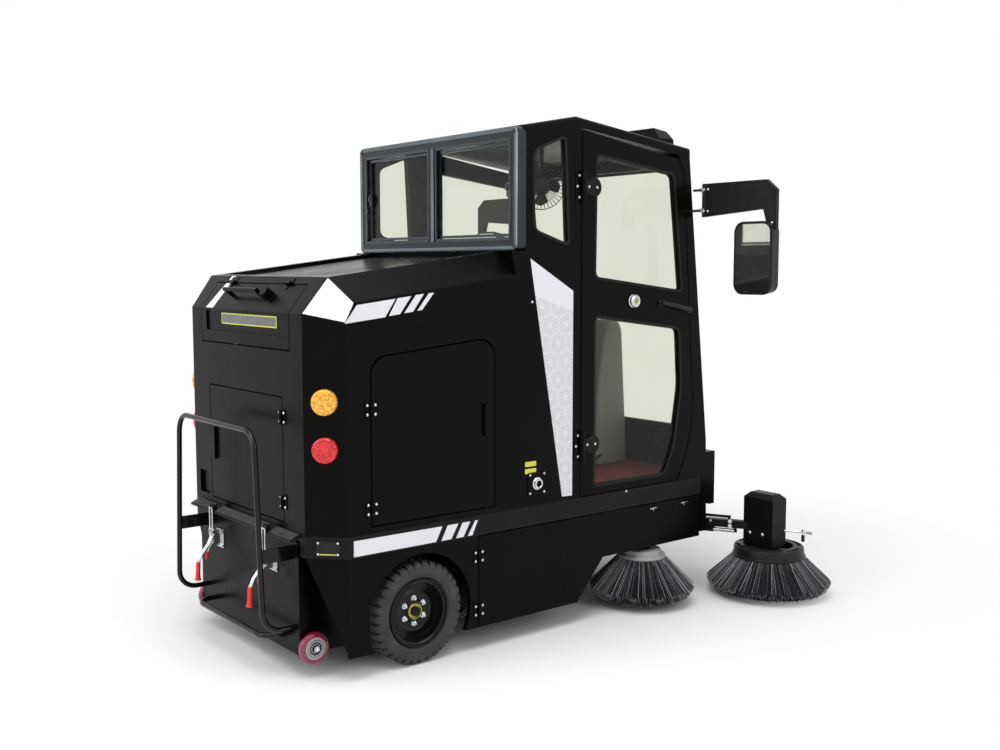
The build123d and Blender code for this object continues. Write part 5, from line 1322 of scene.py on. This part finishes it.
def rim_shape(bm, centre, radius, width, hub, outward):
    """A deep dished rim: flange, barrel, disc and hub."""
    half = width / 2
    profile = (
        (radius - 0.004, half), (radius - 0.001, half - 0.004), (radius - 0.001, -half),
        (radius - 0.012, -half),
        (radius - 0.014, -half * 0.2), (radius - 0.04, -half * 0.05), (radius - 0.062, half * 0.12),
        (radius - 0.075, half * 0.02), (hub + 0.022, -half * 0.02), (hub + 0.02, half * 0.1),
        (hub, half * 0.1), (hub, half * 0.22), (hub + 0.022, half * 0.22), (hub + 0.028, half * 0.14),
        (radius - 0.076, half * 0.16), (radius - 0.06, half * 0.26), (radius - 0.044, half * 0.14),
        (radius - 0.026, half * 0.14), (radius - 0.018, half * 0.5), (radius - 0.02, half * 0.78),
        (radius - 0.012, half * 0.86), (radius - 0.01, half),
    )
    turned(bm, centre, (0, outward, 0), UP, profile, 72)


class SWEEPER_OT_wheels(bpy.types.Operator):
    """Tyres, rims, wheel nuts and hub rings."""

    bl_idname = "sweeper.wheels"
    bl_label = "Wheels"

    def execute(self, context):
        for side, word in SIDES:
            centre = box_centre("rear_tyre_" + word)
            body = "rear_wheel_" + word
            bm = bmesh.new()
            tyre_shape(bm, centre, REAR_TYRE_R, box_width("rear_tyre_" + word), REAR_BEAD_R)
            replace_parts(hand_over("tyre_" + word, bm, "tyre", body), "rear_tyre_" + word)
            bm = bmesh.new()
            rim_shape(bm, centre, RIM_R, RIM_WIDE, HUB_R, side)
            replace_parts(hand_over("rim_" + word, bm, "rim", body), "rear_rim_" + word)
            face = centre + Vector((0, side * 0.056 * 0.16, 0))
            nut = face + Vector((0, 0, NUT_CIRCLE))
            bm = bmesh.new()
            hex_bolt(bm, nut, (0, side, 0), 0.0088)
            bar(bm, nut + Vector((0, side * 0.01, 0)), nut + Vector((0, side * 0.017, 0)), 0.0045, 10)
            repeat_round(bm, centre, (0, 1, 0), WHEEL_NUTS)
            hand_over("wheel_nuts_" + word, bm, "steel", body)
            bm = bmesh.new()
            turned(bm, face, (0, side, 0), UP, HUB_RING, 48)
            hand_over("hub_ring_" + word, bm, "brass", body)
        bm = bmesh.new()
        tyre_shape(bm, box_centre("front_tyre"), FRONT_TYRE_R, box_width("front_tyre"), FRONT_BEAD_R)
        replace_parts(hand_over("tyre_front", bm, "tyre", "front_wheel"), "front_tyre")
        return {"FINISHED"}


# Mirrors

MIRROR_ARM = ((-0.664, 1.841), (-1.014, 1.866), (-1.045, 1.772), (-1.084, 1.772), (-1.084, 1.95),
              (-1.029, 1.995), (-0.664, 1.995))
ARM_BACK, ARM_FRONT = 0.7862, 0.8058
BORDER_THICK, BORDER_WIDE = 0.0026, 0.0085
ARM_PINS_X, ARM_PINS_Z = 0.771, (1.87, 1.966)
PIN_START, PIN_END = -0.6155, -0.668
ARM_SCREWS = ((-0.69, 1.866), (-0.69, 1.968), (-1.065, 1.8))


class SWEEPER_OT_mirrors(bpy.types.Operator):
    """Raised borders, bolts and pins of the mirror arms."""

    bl_idname = "sweeper.mirrors"
    bl_label = "Mirrors"

    def execute(self, context):
        bm = bmesh.new()
        for x, way in ((ARM_BACK, -1), (ARM_FRONT, 1)):
            slab(bm, across(x, MIRROR_ARM), (way * BORDER_THICK, 0, 0), rim=BORDER_WIDE)
        other_side(bm)
        hand_over("mirror_arm_borders", bm, "plastic", "chassis")
        bm = bmesh.new()
        for z in ARM_PINS_Z:
            bar(bm, (ARM_PINS_X, PIN_START, z), (ARM_PINS_X, PIN_END, z), 0.0074, 14)
            hex_bolt(bm, (ARM_PINS_X, PIN_END, z), OUT, 0.009)
        for y, z in ARM_SCREWS:
            screw_head(bm, (ARM_BACK, y, z), BACK, 0.0062)
        other_side(bm)
        hand_over("mirror_arm_bolts", bm, "steel", "chassis")
        return {"FINISHED"}


# Seat

SWELL = 0.016
SWELL_CAP = 0.013
SWELL_STEPS = 15
SEAM_DEPTH, SEAM_WIDTH = 0.0065, 0.0048
PAD_SEAMS_Y = (-0.115, 0.115)
# Name, node, length, width, thickness, crown, place and the seams across it
PADS = (
    ("seat_pad", "seat_cushion", 0.49, 0.48, 0.096, 0.004,
     Matrix.Translation((0.165, 0, 0.989)), (-0.15,)),
    ("back_pad", "seat_back", 0.4, 0.48, 0.088, 0.005,
     Matrix.Translation((-0.081, 0, 1.239)) @ Matrix.Rotation(radians(76.0), 4, "Y"), (0.1, -0.06)),
)


def pad_shape(length, width, thick, crown):
    """A cushion's starting form: a crowned box with soft corners, its top side up and its middle at 0."""
    bm = bmesh.new()
    block(bm, (0, 0, 0), (length - 2 * SWELL, width - 2 * SWELL, thick - SWELL))
    ease(bm, bm.edges[:], 0.022, 4)
    bmesh.ops.subdivide_edges(bm, edges=bm.edges[:], cuts=3, use_grid_fill=True)
    for vert in bm.verts:
        if vert.co.z > 0:
            share = (1 - (2 * vert.co.x / length) ** 2) * (1 - (2 * vert.co.y / width) ** 2)
            vert.co.z += crown * share
    return to_mesh("pad", bm)


def work_in(piece):
    """Make the piece's modifiers part of its mesh."""
    graph = bpy.context.evaluated_depsgraph_get()
    mesh = bpy.data.meshes.new_from_object(piece.evaluated_get(graph))
    old = piece.data
    piece.modifiers.clear()
    piece.data = mesh
    bpy.data.meshes.remove(old)


def swell(piece):
    """Blow the pad up a little as stuffed cloth, each point moving no further than the cap."""
    remesh = piece.modifiers.new("even", "REMESH")
    remesh.mode = "VOXEL"
    remesh.voxel_size = 0.0065
    work_in(piece)
    start = [vert.co.copy() for vert in piece.data.vertices]
    cloth = piece.modifiers.new("stuffing", "CLOTH")
    cloth.settings.use_pressure = True
    cloth.settings.uniform_pressure_force = 4
    cloth.settings.quality = 5
    cloth.settings.tension_stiffness = 18
    cloth.settings.compression_stiffness = 18
    cloth.settings.effector_weights.gravity = 0
    cloth.collision_settings.use_collision = False
    for step in range(1, SWELL_STEPS + 1):
        bpy.context.scene.frame_set(step)
    work_in(piece)
    bpy.context.scene.frame_set(1)
    for vert, before in zip(piece.data.vertices, start):
        moved = vert.co - before
        if moved.length > SWELL_CAP:
            vert.co = before + moved.normalized() * SWELL_CAP


def finish_pad(piece, place, seams_x, lowest):
    """Press the seams in, put the pad in its place and keep it inside its room."""
    mesh = piece.data
    for vert in mesh.vertices:
        if vert.co.z > -0.01:
            gaps = [abs(vert.co.x - at) for at in seams_x] + [abs(vert.co.y - at) for at in PAD_SEAMS_Y]
            press = max(0.0, 1 - min(gaps) / (2 * SEAM_WIDTH))
            vert.co.z -= SEAM_DEPTH * press ** 0.7
        vert.co.z = max(vert.co.z, -lowest)
    mesh.transform(place)
    smooth = piece.modifiers.new("smooth", "SUBSURF")
    smooth.levels = smooth.render_levels = 1
    for face in mesh.polygons:
        face.use_smooth = True
    mesh.materials.clear()
    mesh.materials.append(finishes["seat"])


class SWEEPER_OT_seat(bpy.types.Operator):
    """Seat cushion and back: stuffed and sewn."""

    bl_idname = "sweeper.seat"
    bl_label = "Seat"

    def execute(self, context):
        for name, node, length, width, thick, crown, place, seams_x in PADS:
            piece = new_object(name, pad_shape(length, width, thick, crown))
            swell(piece)
            finish_pad(piece, place, seams_x, thick / 2)
            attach(piece, "chassis")
            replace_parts(piece, node)
        return {"FINISHED"}


# Bristle

TUFT_RISE = 0.048
ROLLER_CORE_R, ROLLER_BORE = 0.081, 0.0142
ROLLER_TUFTS, ROLLER_ROWS, TUFT_STRANDS = 56, 14, 3
TUFT_ROOT_R, TUFT_TIP_R, ROLLER_TWIST = 0.076, 0.1515, 0.5
SIDE_BRUSH_X, SIDE_BRUSH_Y = 0.515, 0.548
SIDE_PLATE = (
    (0.02, 0.222), (0.1, 0.222), (0.111, 0.219), (0.1148, 0.2215), (0.1148, 0.23), (0.112, 0.2345),
    (0.094, 0.24), (0.092, 0.256), (0.088, 0.2588), (0.02, 0.2588),
)
FRONT_BRUSH_X, FRONT_BRUSH_Y = 1.116, 0.835
# Outer wall with its turned rim, inner wall, the floor between them, and the hub
RING_WALLS = (
    ((0.163, 0.186), (0.1768, 0.186), (0.1768, 0.194), (0.171, 0.198), (0.169, 0.23), (0.165, 0.2358),
     (0.159, 0.2376), (0.157, 0.234), (0.161, 0.229), (0.163, 0.198)),
    ((0.118, 0.196), (0.141, 0.196), (0.141, 0.236), (0.1395, 0.2376), (0.118, 0.2376)),
    ((0.138, 0.196), (0.166, 0.196), (0.166, 0.206), (0.138, 0.206)),
    ((0.004, 0.206), (0.052, 0.206), (0.056, 0.21), (0.056, 0.235), (0.053, 0.2372), (0.004, 0.2372)),
)
RING_STEPS = (72, 72, 72, 40)


def strands(bm, rows, centre, seed):
    """Bunches of straight strands round a vertical axis, each a thin tapered rod.

    rows holds (root radius, root height, tip radius, tip height) and the strands in a bunch.
    """
    bunches, thickness = sizes().bristle_bunches, sizes().bristle
    rng = random.Random(seed)
    bm.verts.layers.float.new("strand_tone")
    for root_r, root_z, tip_r, tip_z, count in rows:
        bunch = bmesh.new()
        tone = bunch.verts.layers.float.new("strand_tone")
        sector = 2 * pi / bunches
        for index in range(count):
            angle = sector * (index + rng.uniform(-0.45, 0.45)) / count
            lean = angle + rng.uniform(-0.022, 0.022)
            reach = tip_r * (1 - abs(rng.gauss(0, 0.012))) - 0.002
            root = Vector((cos(angle) * root_r, sin(angle) * root_r, root_z))
            low = max(tip_z + rng.uniform(-0.004, 0.006), 0.0015)
            tip = Vector((cos(lean) * reach, sin(lean) * reach, low))
            made = bar(bunch, root, tip, thickness * rng.uniform(0.45, 0.6), 3, thickness * 0.32)
            shade = rng.random() ** 4
            for vert in made:
                vert[tone] = shade
        repeat_round(bunch, (0, 0, 0), UP, bunches)
        shift(bunch, centre)
        add_in(bm, bunch)


def disc_bristle(name, centre, root_r, root_z, reach, lift, seed):
    """Strands of a disc brush, splayed out and tucked in again at the lower edge, over a dark fill inside
    them: painted shade among and under the bristle.
    """
    wide_z = lift + TUFT_RISE
    bm = bmesh.new()
    strands(bm, (
        (root_r, root_z, reach, wide_z, 26), (root_r - 0.003, root_z, reach - 0.003, wide_z - 0.01, 26),
        (root_r - 0.007, root_z, reach - 0.01, wide_z - 0.022, 24),
        (root_r - 0.011, root_z, reach - 0.02, lift + 0.014, 22),
        (root_r - 0.015, root_z, reach - 0.032, lift + 0.003, 20),
        (root_r - 0.02, root_z, reach - 0.048, lift + 0.001, 18),
    ), centre, seed)
    hand_over(name + "_strands", bm, "strands", name)
    # The dark fill inside the strands is painted shade: it stands for the shade among the bristle and under
    # the brush's lower edge.
    bm = bmesh.new()
    turned(bm, centre, UP, (1, 0, 0),
           ((root_r - 0.03, root_z), (root_r - 0.006, root_z), (reach - 0.016, wide_z + 0.004),
            (reach - 0.04, lift + 0.01), (reach - 0.1, lift + 0.01)), 72)
    hand_over(name + "_core", bm, "bristle_core", name)


class SWEEPER_OT_roller(bpy.types.Operator):
    """Slanted rows of tufts round the roller's core."""

    bl_idname = "sweeper.roller"
    bl_label = "Roller brush"

    def execute(self, context):
        rng = random.Random(5)
        centre, half = box_centre("roller_brush"), box_width("roller_brush") / 2
        bm = bmesh.new()
        turned(bm, centre, (0, 1, 0), UP,
               ((ROLLER_BORE, -half), (0.078, -half), (ROLLER_CORE_R, 0.003 - half),
                (ROLLER_CORE_R, half - 0.003), (0.078, half), (ROLLER_BORE, half)), 48)
        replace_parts(hand_over("roller_core", bm, "plastic", "roller_brush"), "roller_brush")
        row = bmesh.new()
        tone = row.verts.layers.float.new("strand_tone")
        bm = bmesh.new()
        bm.verts.layers.float.new("strand_tone")
        for index in range(ROLLER_TUFTS):
            y = -half + 0.012 + (2 * half - 0.024) * index / (ROLLER_TUFTS - 1)
            twist = ROLLER_TWIST * index / ROLLER_TUFTS
            for _ in range(TUFT_STRANDS):
                turn = twist + rng.uniform(-0.02, 0.02)
                lean = turn + rng.uniform(-0.035, 0.035)
                side = y + rng.uniform(-0.006, 0.006)
                made = bar(row, centre + Vector((TUFT_ROOT_R * sin(turn), y, TUFT_ROOT_R * cos(turn))),
                           centre + Vector((TUFT_TIP_R * sin(lean), side, TUFT_TIP_R * cos(lean))),
                           0.003, 3, 0.0018)
                shade = rng.random() ** 3
                for vert in made:
                    vert[tone] = shade
        repeat_round(row, centre, (0, 1, 0), ROLLER_ROWS)
        add_in(bm, row)
        hand_over("roller_tufts", bm, "strands", "roller_brush")
        return {"FINISHED"}


class SWEEPER_OT_side_brushes(bpy.types.Operator):
    """Brushes under the cab's sides."""

    bl_idname = "sweeper.side_brushes"
    bl_label = "Side brushes"

    def execute(self, context):
        for side, word in SIDES:
            body = "side_brush_" + word
            centre = Vector((SIDE_BRUSH_X, side * SIDE_BRUSH_Y, 0))
            disc_bristle(body, centre, 0.112, 0.224, 0.2545, 0.03, 11)
            bm = bmesh.new()
            turned(bm, centre, UP, (1, 0, 0), SIDE_PLATE, 64)
            for index in range(6):
                turn = index * pi / 3
                place = centre + Vector((cos(turn) * 0.103, sin(turn) * 0.103, 0.2372))
                screw_head(bm, place, (0.15 * cos(turn), 0.15 * sin(turn), 1), 0.0052)
            plate = hand_over("side_brush_plate_" + word, bm, "pale_plate", body)
            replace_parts(plate, "side_brush_" + word)
        return {"FINISHED"}


class SWEEPER_OT_front_brushes(bpy.types.Operator):
    """Brushes on the front arms: slotted ring plate over flared bristle."""

    bl_idname = "sweeper.front_brushes"
    bl_label = "Front brushes"

    def execute(self, context):
        for side, word in SIDES:
            body = "front_brush_" + word
            centre = Vector((FRONT_BRUSH_X, side * FRONT_BRUSH_Y, 0))
            disc_bristle(body, centre, 0.165, 0.192, 0.3035, 0.016, 23)
            bm = bmesh.new()
            for profile, steps in zip(RING_WALLS, RING_STEPS):
                turned(bm, centre, UP, (1, 0, 0), profile, steps)
            bridge = bmesh.new()
            block(bridge, (0.149, 0, 0.2326), (0.024, 0.058, 0.0088), edge=0.002)
            repeat_round(bridge, (0, 0, 0), UP, 6)
            shift(bridge, centre)
            add_in(bm, bridge)
            spoke = bmesh.new()
            block(spoke, (0.092, 0, 0.216), (0.096, 0.054, 0.02), edge=0.003)
            screw_head(spoke, (0.118, 0, 0.226), UP, 0.0075)
            repeat_round(spoke, (0, 0, 0), UP, 3)
            swing(spoke, pi / 6, "Z")
            shift(spoke, centre)
            add_in(bm, spoke)
            ring = hand_over("front_brush_ring_" + word, bm, "plastic", body)
            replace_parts(ring, "front_brush_" + word)
        return {"FINISHED"}


# Operators, panel and the run

operators = (
    SWEEPER_OT_stage,
    SWEEPER_OT_finishes,
    SWEEPER_OT_dress,
    SWEEPER_OT_films,
    SWEEPER_OT_screws,
    SWEEPER_OT_cab_hinges,
    SWEEPER_OT_seals,
    SWEEPER_OT_door_fittings,
    SWEEPER_OT_plates,
    SWEEPER_OT_latches,
    SWEEPER_OT_casters,
    SWEEPER_OT_front_arms,
    SWEEPER_OT_fan,
    SWEEPER_OT_interior,
    SWEEPER_OT_wheels,
    SWEEPER_OT_mirrors,
    SWEEPER_OT_seat,
    SWEEPER_OT_roller,
    SWEEPER_OT_side_brushes,
    SWEEPER_OT_front_brushes,
)


class SWEEPER_PT_panel(bpy.types.Panel):
    """The sweeper's steps, in order."""

    bl_label = "Sweeper"
    bl_idname = "SWEEPER_PT_panel"
    bl_space_type = "VIEW_3D"
    bl_region_type = "UI"
    bl_category = "Sweeper"

    def draw(self, context):
        for operator in operators:
            self.layout.operator(operator.bl_idname)


classes = [SweeperColours, SweeperSizes, *operators, SWEEPER_PT_panel]


def register():
    for one in classes:
        bpy.utils.register_class(one)
    bpy.types.Scene.sweeper_colours = bpy.props.PointerProperty(type=SweeperColours)
    bpy.types.Scene.sweeper_sizes = bpy.props.PointerProperty(type=SweeperSizes)


def unregister():
    del bpy.types.Scene.sweeper_sizes
    del bpy.types.Scene.sweeper_colours
    for one in reversed(classes):
        bpy.utils.unregister_class(one)


def main():
    register()
    for operator in operators:
        getattr(bpy.ops.sweeper, operator.bl_idname.split(".")[1])()


if __name__ == "__main__":
    main()
